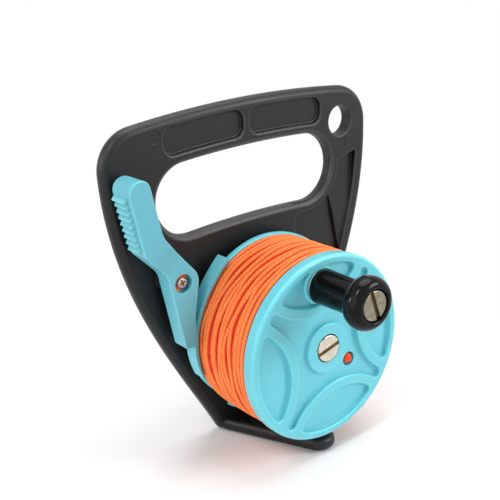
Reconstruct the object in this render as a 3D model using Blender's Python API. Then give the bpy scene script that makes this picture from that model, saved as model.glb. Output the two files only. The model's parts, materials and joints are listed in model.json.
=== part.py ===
# Handled line reel: a moulded hand frame, a two-part spool wound with line, a crank knob
# and a sprung thumb lever whose curved arm lies round the rear flange.
#
# Units are metres. +Z is up, -Y is the front, where the spool and the knob are.
# The origin is on the underside of the foot, in line with the front face of the frame plate.
# Outlines are drawn in the XZ plane, X to the right and Z up, and run anticlockwise.

from math import acos, atan2, ceil, cos, degrees, hypot, pi, radians, sin, sqrt, tan

import bmesh
import bpy
from mathutils import Vector

MM = 0.001

# clearances and shared small sizes
SEAT_GAP = 0.3 * MM          # between two pieces that touch on the real object
CUT_OVERRUN = 1.0 * MM       # how far a cutter runs past the face that it opens
JOIN_SINK = 0.5 * MM         # how far a fused boss starts inside its plate
WELD = 0.001 * MM

# frame plate
PLATE_THICK = 7.0 * MM
PLATE_EDGE = 3.2 * MM
FRAME_HEIGHT = 147.0 * MM
FRAME_HALF_WIDTH = 69.5 * MM
TOP_ARC_RADIUS = 500.0 * MM
TOP_CORNER_RADIUS = 17.0 * MM
BASE_HALF_WIDTH = 23.8 * MM
BASE_CORNER_RADIUS = 4.5 * MM
SIDE_LEAN_DEG = 26.3
SIDE_LOWER_PULL = 32.0 * MM
SIDE_UPPER_PULL = 52.5 * MM

# holes and recesses in the frame
GRIP_DROP = 35.15 * MM       # from the top edge to the grip hole's middle
LIMB_WIDTH = 22.85 * MM      # from the grip hole's end to the plate's widest place
GRIP_RADIUS = 15.25 * MM
GRIP_EDGE = 2.6 * MM
LANYARD_RADIUS = 6.76 * MM
LANYARD_EDGE = 1.0 * MM
LANYARD_RISE = 1.5 * MM      # above the corner's own centre
PILL_DROP = 10.0 * MM
PILL_HEIGHT = 11.5 * MM
PILL_START = 1.6 * MM
PILL_INSET = 28.2 * MM       # from the handle recess's end to the plate's widest place
PILL_CORNER = 4.5 * MM
PILL_DEPTH = 2.2 * MM
SIDE_RIM = 6.2 * MM          # land left beside the recess in the right limb
GRIP_RIM = 4.75 * MM         # land left round the grip hole
WEB_DEPTH = 3.0 * MM
WEB_WIDTH = 45.5 * MM        # from the web recess's left side to the plate's widest place
WEB_BOTTOM = 38.0 * MM
WEB_CORNER = 4.0 * MM
LIMB_TOP = 112.2 * MM
LIMB_TOP_DEPTH = 3.1 * MM
LIMB_LOW_DEPTH = 1.5 * MM
LIMB_STEP_HEIGHT = 87.0 * MM
LIMB_FOOT_HEIGHT = 67.0 * MM
SLANT_TOP_INSET = 23.9 * MM  # the slanting edge between the two recesses, as PILL_INSET
SLANT_FOOT_INSET = 18.6 * MM

# foot
FOOT_THICK = 6.0 * MM
FOOT_EDGE = 2.5 * MM
FOOT_REACH = 44.2 * MM       # from the plate's front face to the tip
FOOT_TIP_RADIUS = 7.0 * MM
FOOT_ROOT = 3.5 * MM         # how far it runs into the plate
FOOT_HALF_WIDTH = 23.4 * MM
GUIDE_RADIUS = 4.0 * MM
GUIDE_REACH = 23.5 * MM

# axle
FOOT_PLAY = 2.6 * MM         # between the foot and the rear flange
BOSS_RADIUS = 12.0 * MM
BOSS_HEIGHT = 4.0 * MM
BOLT_RADIUS = 3.0 * MM
BOLT_HEAD_RADIUS = 6.5 * MM
BOLT_HEAD_THICK = 2.6 * MM
BOLT_HEAD_CHAMFER = 0.4 * MM
BOLT_SLOT_WIDTH = 1.5 * MM
BOLT_SLOT_DEPTH = 1.3 * MM
BOLT_SLOT_TURN_DEG = 12.6
BOLT_END_PROUD = 0.6 * MM
SLEEVE_WALL = 1.2 * MM
AXLE_WASHER_RADIUS = 6.5 * MM
AXLE_WASHER_THICK = 0.8 * MM
THRUST_WASHER_RADIUS = 10.0 * MM
THRUST_WASHER_THICK = 1.0 * MM
NUT_FLATS = 10.0 * MM
NUT_THICK = 5.0 * MM

# spool
FLANGE_RADIUS = 40.4 * MM
REAR_FLANGE_THICK = 3.0 * MM
REAR_FLANGE_EDGE = 0.8 * MM
WINDING_WIDTH = 30.7 * MM    # between the two flanges
FRONT_INSET = 0.4 * MM       # how much smaller the front flange is
FRONT_THICK = 6.5 * MM
FRONT_EDGE = 1.5 * MM
DRUM_RADIUS = 18.0 * MM
DRUM_WALL = 2.5 * MM
HUB_RADIUS = 8.0 * MM
SPIGOT_WALL = 1.8 * MM
SPIGOT_LENGTH = 4.0 * MM
NOTCH_START_DEG = 200.0
NOTCH_END_DEG = 232.0
NOTCH_DEPTH = 3.9 * MM
NOTCH_COUNT = 2

# front face of the spool
FACE_RIM = 3.5 * MM
FACE_ARC_OUT = 8.5 * MM      # from the rim to the centres of the face's arcs
FACE_ARC_WIDTH = 4.3 * MM    # of the raised arcs between the lens pockets and the star
LENS_CORNER = 2.2 * MM
STAR_END_RADIUS = 2.3 * MM
FACE_RECESS = 2.2 * MM
FACE_TURN_DEG = 7.5
FACE_COUNT = 4
RING_RADIUS = 11.0 * MM
RING_SINK = 0.3 * MM         # below the face
LINE_HOLE_RADIUS = 3.0 * MM
LINE_HOLE_DEPTH = 2.6 * MM
LINE_HOLE_ACROSS = 10.5 * MM
LINE_HOLE_DROP = 8.0 * MM

# winding
LINE_RADIUS = 1.0 * MM
LINE_PITCH = 2.5 * MM        # at least; the turns are spread evenly
LINE_CLIMB_SHARE = 0.25      # of each turn, in which the line climbs to the next one's place
LINE_CROWN = 0.8 * MM        # the middle stands higher than the ends
WINDING_DROP = 1.1 * MM      # from the rear flange's rim to the line, at the middle
LOOP_POINTS = 24
KNOT_RADIUS = 2.5 * MM
KNOT_HALF_THICK = 1.6 * MM
KNOT_PROUD = 0.6 * MM
KNOT_TAIL = 5.0 * MM

# knob
KNOB_ACROSS = -3.6 * MM
KNOB_INSET = 11.0 * MM       # from the front flange's rim
KNOB_BOSS_RADIUS = 9.0 * MM
KNOB_WASHER_THICK = 0.6 * MM
KNOB_WASHER_RADIUS = 6.5 * MM
KNOB_LENGTH = 29.7 * MM
KNOB_BARREL_RADIUS = 7.5 * MM
KNOB_BARREL_LENGTH = 16.2 * MM
KNOB_HEAD_RADIUS = 11.8 * MM
KNOB_HEAD_REAR = 7.5 * MM    # from the barrel's end to the widest place
KNOB_LIP_RADIUS = 7.7 * MM
KNOB_RECESS_RADIUS = 6.8 * MM
KNOB_RECESS_DEPTH = 4.0 * MM
KNOB_EDGE = 0.5 * MM
KNOB_SCREW_RADIUS = 2.5 * MM
KNOB_SCREW_HEAD_RADIUS = 6.3 * MM
KNOB_SCREW_HEAD_THICK = 2.4 * MM
KNOB_SLOT_TURN_DEG = -73.0
KNOB_SLEEVE_WALL = 1.0 * MM
KNOB_NUT_FLATS = 8.0 * MM
KNOB_NUT_THICK = 3.0 * MM
KNOB_NUT_SINK = 3.6 * MM
KNOB_SCREW_PAST_NUT = 0.2 * MM

# lever
PIVOT_OUT = 5.2 * MM         # from the rear flange's rim
PIVOT_RISE = 32.5 * MM       # above the spool axis
LEVER_SIZE = 50.0 * MM       # the outline's shares are of this length
LEVER_STANDOFF = 3.66 * MM   # from the plate to the lever's back
LEVER_THICK = 8.5 * MM
LEVER_EDGE = 0.7 * MM
RAMP_ACROSS = -8.0 * MM      # foot of the ramp up to the thumb part, from the pivot
RAMP_RISE = 5.2 * MM
RAMP_LEAN_DEG = 47.0         # the ramp runs up and to the left
RAMP_LENGTH = 12.5 * MM
RAMP_EXTRA = 2.4 * MM        # how much thicker the lever is at the ramp's top
THUMB_TILT_DEG = 5.3         # of the long front face beyond the ramp
LEVER_END_ROUND = 1.8 * MM
LEVER_WAIST_ROUND = 20.0 * MM
LEVER_BOSS_ROUND = 7.3 * MM
LEVER_ELBOW_ROUND = 12.0 * MM
LEVER_TIP_ROUND = 4.8 * MM
LEVER_HEEL_ROUND = 3.0 * MM
LEVER_BACK_ROUND = 8.0 * MM
RIB_COUNT = 9
RIB_HEIGHT = 1.1 * MM
RIB_ROOT_WIDTH = 2.3 * MM
RIB_TIP_WIDTH = 0.6 * MM
RIB_PITCH = 2.67 * MM
RIB_FIRST = 2.3 * MM         # from the ribbed side's lower corner
RIB_STEP = 0.6 * MM          # from the lever's front and back to the ribs' ends
LEVER_TRAVEL_DEG = 3.0

# brake arm, moulded with the lever
ARM_CLEARANCE = 0.35 * MM
ARM_THICK = 1.6 * MM
ARM_TOP_THICK = 1.75 * MM
ARM_TAIL_THICK = 0.5 * MM
ARM_TOP_LIFT = 1.35 * MM     # keeps the top end clear of the rim when the lever is pressed
ARM_BACK = 4.9 * MM          # behind which the arm doesn't reach, from the plate
ARM_DEPTH = 6.5 * MM
ARM_TOP_DEG = 122.0
ARM_LIFT_END_DEG = 146.0
ARM_TAPER_START_DEG = 182.0
ARM_TAIL_DEG = 197.0
ROOT_TOP_DEG = 161.5
ROOT_FOOT_DEG = 174.5
ROOT_THICK = 3.4 * MM

# lever pivot
PIVOT_POST_RADIUS = 3.2 * MM
PIVOT_CUP_WALL = 0.7 * MM
LEVER_SINK_RADIUS = 4.0 * MM
LEVER_SINK_DEPTH = 3.5 * MM
LEVER_WASHER_THICK = 0.7 * MM
LEVER_SCREW_RADIUS = 1.5 * MM
LEVER_SCREW_HEAD_RADIUS = 2.5 * MM
LEVER_SCREW_HEAD_THICK = 1.8 * MM
LEVER_SCREW_LENGTH = 11.0 * MM
CROSS_WIDTH = 0.9 * MM
CROSS_REACH = 1.6 * MM
CROSS_DEPTH = 0.9 * MM
SPRING_PLAY = 0.4 * MM       # inside to the post and outside to the cup
SPRING_WIRE_RADIUS = 0.35 * MM
SPRING_PITCH = 1.2 * MM
SPRING_TURNS = 1.5
SPRING_LEG = 1.6 * MM
SPRING_CURL_POINTS = 16
SPRING_START_DEG = 200.0

# Corners of the lever's outline, seen from the front and measured from the pivot as
# shares of LEVER_SIZE. The last value is the round of that corner.
LEVER_CORNER_SHARES = [
    (-0.030, -0.572, LEVER_END_ROUND),
    (0.098, -0.572, LEVER_END_ROUND),
    (0.084, -0.338, LEVER_WAIST_ROUND),
    (0.158, 0.032, LEVER_BOSS_ROUND),
    (-0.170, 0.438, LEVER_ELBOW_ROUND),
    (-0.282, 0.952, LEVER_TIP_ROUND),
    (-0.470, 0.904, LEVER_TIP_ROUND),
    (-0.352, 0.320, LEVER_HEEL_ROUND),
    (-0.140, 0.094, LEVER_BACK_ROUND),
]

# widths that follow the plate's
GRIP_HALF_WIDTH = FRAME_HALF_WIDTH - LIMB_WIDTH
PILL_END = FRAME_HALF_WIDTH - PILL_INSET
WEB_LEFT = FRAME_HALF_WIDTH - WEB_WIDTH
SLANT_TOP = FRAME_HALF_WIDTH - SLANT_TOP_INSET
SLANT_FOOT = FRAME_HALF_WIDTH - SLANT_FOOT_INSET

# sizes and places that follow the rear flange's
AXIS_HEIGHT = FOOT_THICK + FOOT_PLAY + FLANGE_RADIUS
FRONT_RADIUS = FLANGE_RADIUS - FRONT_INSET
FACE_RIM_INNER = FRONT_RADIUS - FACE_RIM
FACE_ARC_OFFSET = FRONT_RADIUS + FACE_ARC_OUT
STAR_ARC_RADIUS = FACE_ARC_OFFSET * sin(pi / FACE_COUNT) - STAR_END_RADIUS
LENS_ARC_RADIUS = STAR_ARC_RADIUS - FACE_ARC_WIDTH
WINDING_RADIUS = FLANGE_RADIUS - WINDING_DROP
KNOB_RISE = FRONT_RADIUS - KNOB_INSET
PIVOT_ACROSS = -FLANGE_RADIUS - PIVOT_OUT

# places along Y that several pieces share
PLATE_FRONT = 0.0
BOSS_FRONT = PLATE_FRONT - BOSS_HEIGHT
THRUST_WASHER_REAR = BOSS_FRONT - SEAT_GAP
SPOOL_REAR = THRUST_WASHER_REAR - THRUST_WASHER_THICK - SEAT_GAP
WINDING_REAR = SPOOL_REAR - REAR_FLANGE_THICK
WINDING_FRONT = WINDING_REAR - WINDING_WIDTH
SPOOL_FRONT = WINDING_FRONT - FRONT_THICK
FACE_FLOOR = SPOOL_FRONT + FACE_RECESS
RING_FRONT = SPOOL_FRONT + RING_SINK
BOLT_HEAD_FRONT = RING_FRONT - BOLT_HEAD_CHAMFER
BOLT_HEAD_REAR = BOLT_HEAD_FRONT + BOLT_HEAD_THICK
AXLE_WASHER_REAR = BOLT_HEAD_REAR + SEAT_GAP + AXLE_WASHER_THICK
SLEEVE_FRONT = AXLE_WASHER_REAR + SEAT_GAP
HUB_SINK_FLOOR = SLEEVE_FRONT
KNOB_WASHER_REAR = SPOOL_FRONT - SEAT_GAP
KNOB_REAR = KNOB_WASHER_REAR - KNOB_WASHER_THICK - SEAT_GAP
KNOB_FRONT = KNOB_REAR - KNOB_LENGTH
KNOB_RECESS_FLOOR = KNOB_FRONT + KNOB_RECESS_DEPTH
KNOB_SLEEVE_FRONT = KNOB_RECESS_FLOOR - SEAT_GAP
KNOB_HEAD_REAR_FACE = KNOB_SLEEVE_FRONT - SEAT_GAP
LEVER_BACK = PLATE_FRONT - LEVER_STANDOFF
LEVER_FRONT = LEVER_BACK - LEVER_THICK
LEVER_SINK_FLOOR = LEVER_FRONT + LEVER_SINK_DEPTH
PIVOT_POST_FRONT = LEVER_SINK_FLOOR - SEAT_GAP
LEVER_WASHER_REAR = PIVOT_POST_FRONT - SEAT_GAP
LEVER_SCREW_HEAD_REAR = LEVER_WASHER_REAR - LEVER_WASHER_THICK - SEAT_GAP

# radii that pieces share
SLEEVE_BORE = BOLT_RADIUS + SEAT_GAP
SLEEVE_RADIUS = SLEEVE_BORE + SLEEVE_WALL
SPOOL_BORE = SLEEVE_RADIUS + SEAT_GAP
KNOB_SLEEVE_BORE = KNOB_SCREW_RADIUS + SEAT_GAP
KNOB_SLEEVE_RADIUS = KNOB_SLEEVE_BORE + KNOB_SLEEVE_WALL
KNOB_BORE = KNOB_SLEEVE_RADIUS + SEAT_GAP
SPRING_RADIUS = PIVOT_POST_RADIUS + SPRING_PLAY + SPRING_WIRE_RADIUS
PIVOT_CUP_BORE = SPRING_RADIUS + SPRING_WIRE_RADIUS + SPRING_PLAY

FINE_STEP_DEG = 9.0
FLAT_DEG = 0.1
ROUND_SEGMENTS = 64
HEAD_SEGMENTS = 40
SMALL_SEGMENTS = 24


# Outlines


def arc(centre, radius, start_deg, end_deg, step_deg=FINE_STEP_DEG):
    """Points along an arc, both ends included."""
    steps = max(1, ceil(abs(end_deg - start_deg) / step_deg))
    span = radians(end_deg - start_deg)
    angles = [radians(start_deg) + span * i / steps for i in range(steps + 1)]
    return [(centre[0] + radius * cos(a), centre[1] + radius * sin(a)) for a in angles]


def bezier(p0, p1, p2, p3, steps):
    """Points along a cubic curve, both ends included."""
    points = []
    for i in range(steps + 1):
        t = i / steps
        weights = ((1 - t) ** 3, 3 * t * (1 - t) ** 2, 3 * t * t * (1 - t), t ** 3)
        points.append(tuple(sum(w * p[k] for w, p in zip(weights, (p0, p1, p2, p3)))
                            for k in (0, 1)))
    return points


def without_repeats(points):
    """The loop with neighbouring points that coincide taken out."""
    kept = []
    for point in points:
        if not kept or hypot(point[0] - kept[-1][0], point[1] - kept[-1][1]) > WELD:
            kept.append(point)
    if hypot(kept[0][0] - kept[-1][0], kept[0][1] - kept[-1][1]) <= WELD:
        kept.pop()
    return kept


def rounded_outline(corners, step_deg=18.0):
    """A closed outline from corners (x, z, radius), each rounded by its own radius."""
    points = []
    count = len(corners)
    for i, (x, z, radius) in enumerate(corners):
        corner = Vector((x, z))
        before = Vector(corners[i - 1][:2]) - corner
        after = Vector(corners[(i + 1) % count][:2]) - corner
        half_angle = before.angle(after) / 2
        # a round is never longer than half of either side that it joins
        reach = min(radius / tan(half_angle), before.length / 2, after.length / 2)
        radius = reach * tan(half_angle)
        if reach < WELD:
            points.append((x, z))
            continue
        middle = (before.normalized() + after.normalized()).normalized()
        centre = corner + middle * (radius / sin(half_angle))
        first = corner + before.normalized() * reach - centre
        last = corner + after.normalized() * reach - centre
        start = degrees(atan2(first.y, first.x))
        turn = (degrees(atan2(last.y, last.x)) - start + 180) % 360 - 180
        points += arc(centre, radius, start, start + turn, step_deg)
    return without_repeats(points)


def inset(points, distance):
    """The closed outline moved inwards, or outwards where the distance is negative."""
    moved = []
    count = len(points)
    for i in range(count):
        before = Vector(points[i]) - Vector(points[i - 1])
        after = Vector(points[(i + 1) % count]) - Vector(points[i])
        inward = Vector((-before.y, before.x)).normalized() + Vector((-after.y, after.x)).normalized()
        inward.normalize()
        spread = inward.dot(Vector((-before.y, before.x)).normalized())
        moved.append(tuple(Vector(points[i]) + inward * distance / spread))
    return moved


def band_outline(centre_z, radius, half_height, start, end, corner):
    """A bent bar along an arc about (0, centre_z), between two places measured along X."""
    low_turn = degrees(start / radius)
    high_turn = degrees(end / radius)
    points = []
    corner_turn = degrees(corner / radius)
    inner = half_height - corner
    for turn, side, first in ((high_turn - corner_turn, 1, 0), (low_turn + corner_turn, 1, 90),
                              (low_turn + corner_turn, -1, 180), (high_turn - corner_turn, -1, 270)):
        around = 90 - turn
        reach = radius + side * inner
        centre = (reach * cos(radians(around)), centre_z + reach * sin(radians(around)))
        lean = around - 90
        points += arc(centre, corner, lean + first, lean + first + 90, 15.0)
    # the long edges follow the arc, too
    filled = []
    for i, point in enumerate(points):
        filled.append(point)
        following = points[(i + 1) % len(points)]
        if abs(following[0] - point[0]) > corner:
            reach = hypot(point[0], point[1] - centre_z)
            from_deg = degrees(atan2(point[1] - centre_z, point[0]))
            to_deg = degrees(atan2(following[1] - centre_z, following[0]))
            filled += arc((0, centre_z), reach, from_deg, to_deg, 1.5)[1:-1]
    return without_repeats(filled)


# Solids


def material(name, colour, roughness, metallic=0.0):
    made = bpy.data.materials.new(name)
    made.use_nodes = True
    shader = made.node_tree.nodes["Principled BSDF"]
    shader.inputs["Base Color"].default_value = (*colour, 1.0)
    shader.inputs["Roughness"].default_value = roughness
    shader.inputs["Metallic"].default_value = metallic
    return made


def empty(name, location):
    axis = bpy.data.objects.new(name, None)
    axis.location = location
    axis.empty_display_size = BOSS_RADIUS
    bpy.context.collection.objects.link(axis)
    return axis


def make_object(name, bm, finish=None, parent=None, sharp_deg=35.0, collection=None):
    bmesh.ops.recalc_face_normals(bm, faces=bm.faces)
    mesh = bpy.data.meshes.new(name)
    bm.to_mesh(mesh)
    bm.free()
    mesh.shade_smooth()
    mesh.set_sharp_from_angle(angle=radians(sharp_deg))
    made = bpy.data.objects.new(name, mesh)
    (collection or bpy.context.collection).objects.link(made)
    made.parent = parent
    if finish:
        mesh.materials.append(finish)
    return made


def extruded(outline, front, back, edge=0.0, holes=(), steps=2):
    """A slab between two planes along Y. Each hole is (outline, edge round)."""
    bm = bmesh.new()
    rims = {front: [], back: []}
    for points, radius, inward in [(outline, edge, 1)] + [(h, r, -1) for h, r in holes]:
        turns = [pi / 2 * i / steps for i in range(steps + 1)] if radius else [pi / 2]
        levels = [(radius * (1 - sin(t)), front + radius * (1 - cos(t))) for t in turns]
        levels += [(radius * (1 - sin(t)), back - radius * (1 - cos(t))) for t in reversed(turns)]
        if not radius:
            levels = [(0.0, front), (0.0, back)]
        rings = []
        for distance, y in levels:
            ring = inset(points, distance * inward) if distance else points
            rings.append([bm.verts.new((x, y, z)) for x, z in ring])
        count = len(points)
        for lower, upper in zip(rings, rings[1:]):
            for i in range(count):
                following = (i + 1) % count
                bm.faces.new((lower[i], lower[following], upper[following], upper[i]))
        for y, ring in ((front, rings[0]), (back, rings[-1])):
            rims[y] += [bm.edges.get((ring[i - 1], ring[i])) for i in range(count)]
    for edges in rims.values():
        bmesh.ops.triangle_fill(bm, edges=edges, use_beauty=True)
    return bm


def turned(profile, segments=ROUND_SEGMENTS, closed=True):
    """A profile of (radius, y) spun about the Y axis. Open profiles start and end on it."""
    bm = bmesh.new()
    verts = [bm.verts.new((r, y, 0)) for r, y in profile]
    edges = [bm.edges.new(pair) for pair in zip(verts, verts[1:])]
    if closed:
        edges.append(bm.edges.new((verts[-1], verts[0])))
    bmesh.ops.spin(bm, geom=verts + edges, axis=(0, 1, 0), cent=(0, 0, 0),
                   angle=2 * pi, steps=segments, use_merge=True)
    bmesh.ops.remove_doubles(bm, verts=bm.verts, dist=WELD)
    bmesh.ops.dissolve_limit(bm, angle_limit=radians(FLAT_DEG), verts=bm.verts, edges=bm.edges)
    return bm


def tube_profile(inner, outer, front, back):
    return [(inner, back), (outer, back), (outer, front), (inner, front)]


def rod(radius, front, back, segments=SMALL_SEGMENTS):
    return turned([(0, back), (radius, back), (radius, front), (0, front)], segments, closed=False)


def shape(target, operation, tools):
    """One Boolean on the target with all the tools, each given as (name, mesh, parent)."""
    group = bpy.data.collections.new(f"{target.name}_{operation.lower()}_{len(target.modifiers) + 1}")
    bpy.context.collection.children.link(group)
    for name, bm, parent in tools:
        tool = make_object(name, bm, parent=parent, collection=group)
        tool.hide_render = True
        tool.display_type = "WIRE"
    modifier = target.modifiers.new(group.name, "BOOLEAN")
    modifier.operation = operation
    modifier.solver = "EXACT"
    modifier.operand_type = "COLLECTION"
    modifier.collection = group


def cut(target, *tools):
    shape(target, "DIFFERENCE", tools)


def fuse(target, *tools):
    shape(target, "UNION", tools)


def move(bm, offset):
    bmesh.ops.translate(bm, verts=bm.verts, vec=offset)
    return bm


def hexagon(flats):
    corner = flats / 2 / cos(pi / 6)
    return [(corner * cos(pi / 3 * i), corner * sin(pi / 3 * i)) for i in range(6)]


def slot_outline(half_length, half_width, turn_deg):
    along = Vector((cos(radians(turn_deg)), sin(radians(turn_deg)))) * half_length
    across = Vector((-along.y, along.x)).normalized() * half_width
    return [tuple(v) for v in (-along - across, along - across, along + across, -along + across)]


# Frame


def top_corner_centre():
    centre_z = FRAME_HEIGHT - TOP_ARC_RADIUS
    across = FRAME_HALF_WIDTH - TOP_CORNER_RADIUS
    return across, centre_z + sqrt((TOP_ARC_RADIUS - TOP_CORNER_RADIUS) ** 2 - across ** 2)


def frame_side():
    """The right side's curve, from the base corner up to the top corner."""
    lean = radians(SIDE_LEAN_DEG)
    along = Vector((sin(lean), cos(lean)))
    reach = BASE_CORNER_RADIUS * tan((pi / 2 - lean) / 2)
    start = Vector((BASE_HALF_WIDTH, 0)) + along * reach
    end = Vector((FRAME_HALF_WIDTH, top_corner_centre()[1]))
    return bezier(start, start + along * SIDE_LOWER_PULL, end - Vector((0, SIDE_UPPER_PULL)), end, 14)


def frame_outline():
    lean = SIDE_LEAN_DEG
    reach = BASE_CORNER_RADIUS * tan(radians(90 - lean) / 2)
    base_centre = (BASE_HALF_WIDTH - reach, BASE_CORNER_RADIUS)
    arc_centre = (0, FRAME_HEIGHT - TOP_ARC_RADIUS)
    corner = top_corner_centre()
    meet = degrees(atan2(corner[1] - arc_centre[1], corner[0]))
    half = arc(base_centre, BASE_CORNER_RADIUS, -90, -lean, 22.0)
    half += frame_side()
    half += arc(corner, TOP_CORNER_RADIUS, 0, meet, 10.0)
    half += arc(arc_centre, TOP_ARC_RADIUS, meet, 90, 1.6)
    mirrored = [(-x, z) for x, z in reversed(half)]
    return without_repeats(half + mirrored)


def grip_outline(extra=0.0):
    radius = TOP_ARC_RADIUS - GRIP_DROP
    half = GRIP_HALF_WIDTH + extra
    return band_outline(FRAME_HEIGHT - TOP_ARC_RADIUS, radius, GRIP_RADIUS + extra, -half, half,
                        GRIP_RADIUS + extra)


def grip_end_centre():
    radius = TOP_ARC_RADIUS - GRIP_DROP
    turn = (GRIP_HALF_WIDTH - GRIP_RADIUS) / radius
    return radius * sin(turn), FRAME_HEIGHT - TOP_ARC_RADIUS + radius * cos(turn)


def side_land(height):
    """How far from the middle the right limb's recess may reach at a height."""
    curve = inset(frame_side() + [(0, FRAME_HEIGHT), (0, 0)], SIDE_RIM)[:-2]
    for low, high in zip(curve, curve[1:]):
        if low[1] <= height <= high[1]:
            return low[0] + (high[0] - low[0]) * (height - low[1]) / (high[1] - low[1])
    return curve[-1][0]


def web_recess():
    """The deep recess under the grip hole, left of the slanting edge."""
    centre = grip_end_centre()
    radius = GRIP_RADIUS + GRIP_RIM
    edge_turn = -degrees(acos((SLANT_TOP - centre[0]) / radius))
    low_edge = side_land(WEB_BOTTOM)
    top_corner = centre[1] - radius - WEB_CORNER
    points = [(WEB_LEFT + WEB_CORNER, WEB_BOTTOM), (low_edge, WEB_BOTTOM),
              (side_land(LIMB_FOOT_HEIGHT), LIMB_FOOT_HEIGHT)]
    points += reversed(arc(centre, radius, -90, edge_turn, 10.0))
    points += arc((WEB_LEFT + WEB_CORNER, top_corner), WEB_CORNER, 90, 180, 30.0)
    points += arc((WEB_LEFT + WEB_CORNER, WEB_BOTTOM + WEB_CORNER), WEB_CORNER, 180, 270, 30.0)
    return without_repeats(points)


def limb_recess(low, high):
    """The shallower recess up the right limb, right of the slanting edge."""
    centre = grip_end_centre()
    radius = GRIP_RADIUS + GRIP_RIM
    heights = [low + (high - low) * i / 6 for i in range(7)]
    right = [(side_land(z), z) for z in heights]
    edge_top = centre[1] - sqrt(radius ** 2 - (SLANT_TOP - centre[0]) ** 2)

    def left_at(z):
        # below the grip hole it runs on into the deeper recess, which sets the edge
        share = (z - LIMB_FOOT_HEIGHT) / (edge_top - LIMB_FOOT_HEIGHT)
        slant = SLANT_FOOT + (SLANT_TOP - SLANT_FOOT) * share - CUT_OVERRUN
        round_edge = centre[0] + sqrt(max(0.0, radius ** 2 - (z - centre[1]) ** 2))
        return round_edge if z > edge_top else max(slant, round_edge)

    left = [(left_at(z), z) for z in reversed(heights)]
    return without_repeats(right + left)


def foot_outline():
    """The foot in plan, as (x, y): straight sides that run in to a round tip."""
    tip = Vector((0, FOOT_TIP_RADIUS - FOOT_REACH))
    corner = Vector((FOOT_HALF_WIDTH, PLATE_FRONT))
    away = corner - tip
    # the side touches the tip's circle
    turn = atan2(away.y, away.x) - acos(FOOT_TIP_RADIUS / away.length)
    touch = degrees(turn)
    points = arc(tip, FOOT_TIP_RADIUS, -90, touch, 15.0)
    points += [(FOOT_HALF_WIDTH, PLATE_FRONT), (FOOT_HALF_WIDTH, FOOT_ROOT)]
    return without_repeats(points + [(-x, y) for x, y in reversed(points)])


def lying_flat(bm):
    """A slab drawn in plan: its Y, the thickness, becomes Z, and its Z becomes Y."""
    for vert in bm.verts:
        x, y, z = vert.co
        vert.co = (x, z, y)
    return bm


def spring_leg_place(turn_deg):
    turn = radians(turn_deg)
    return SPRING_RADIUS * cos(turn), 0, SPRING_RADIUS * sin(turn)


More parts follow.
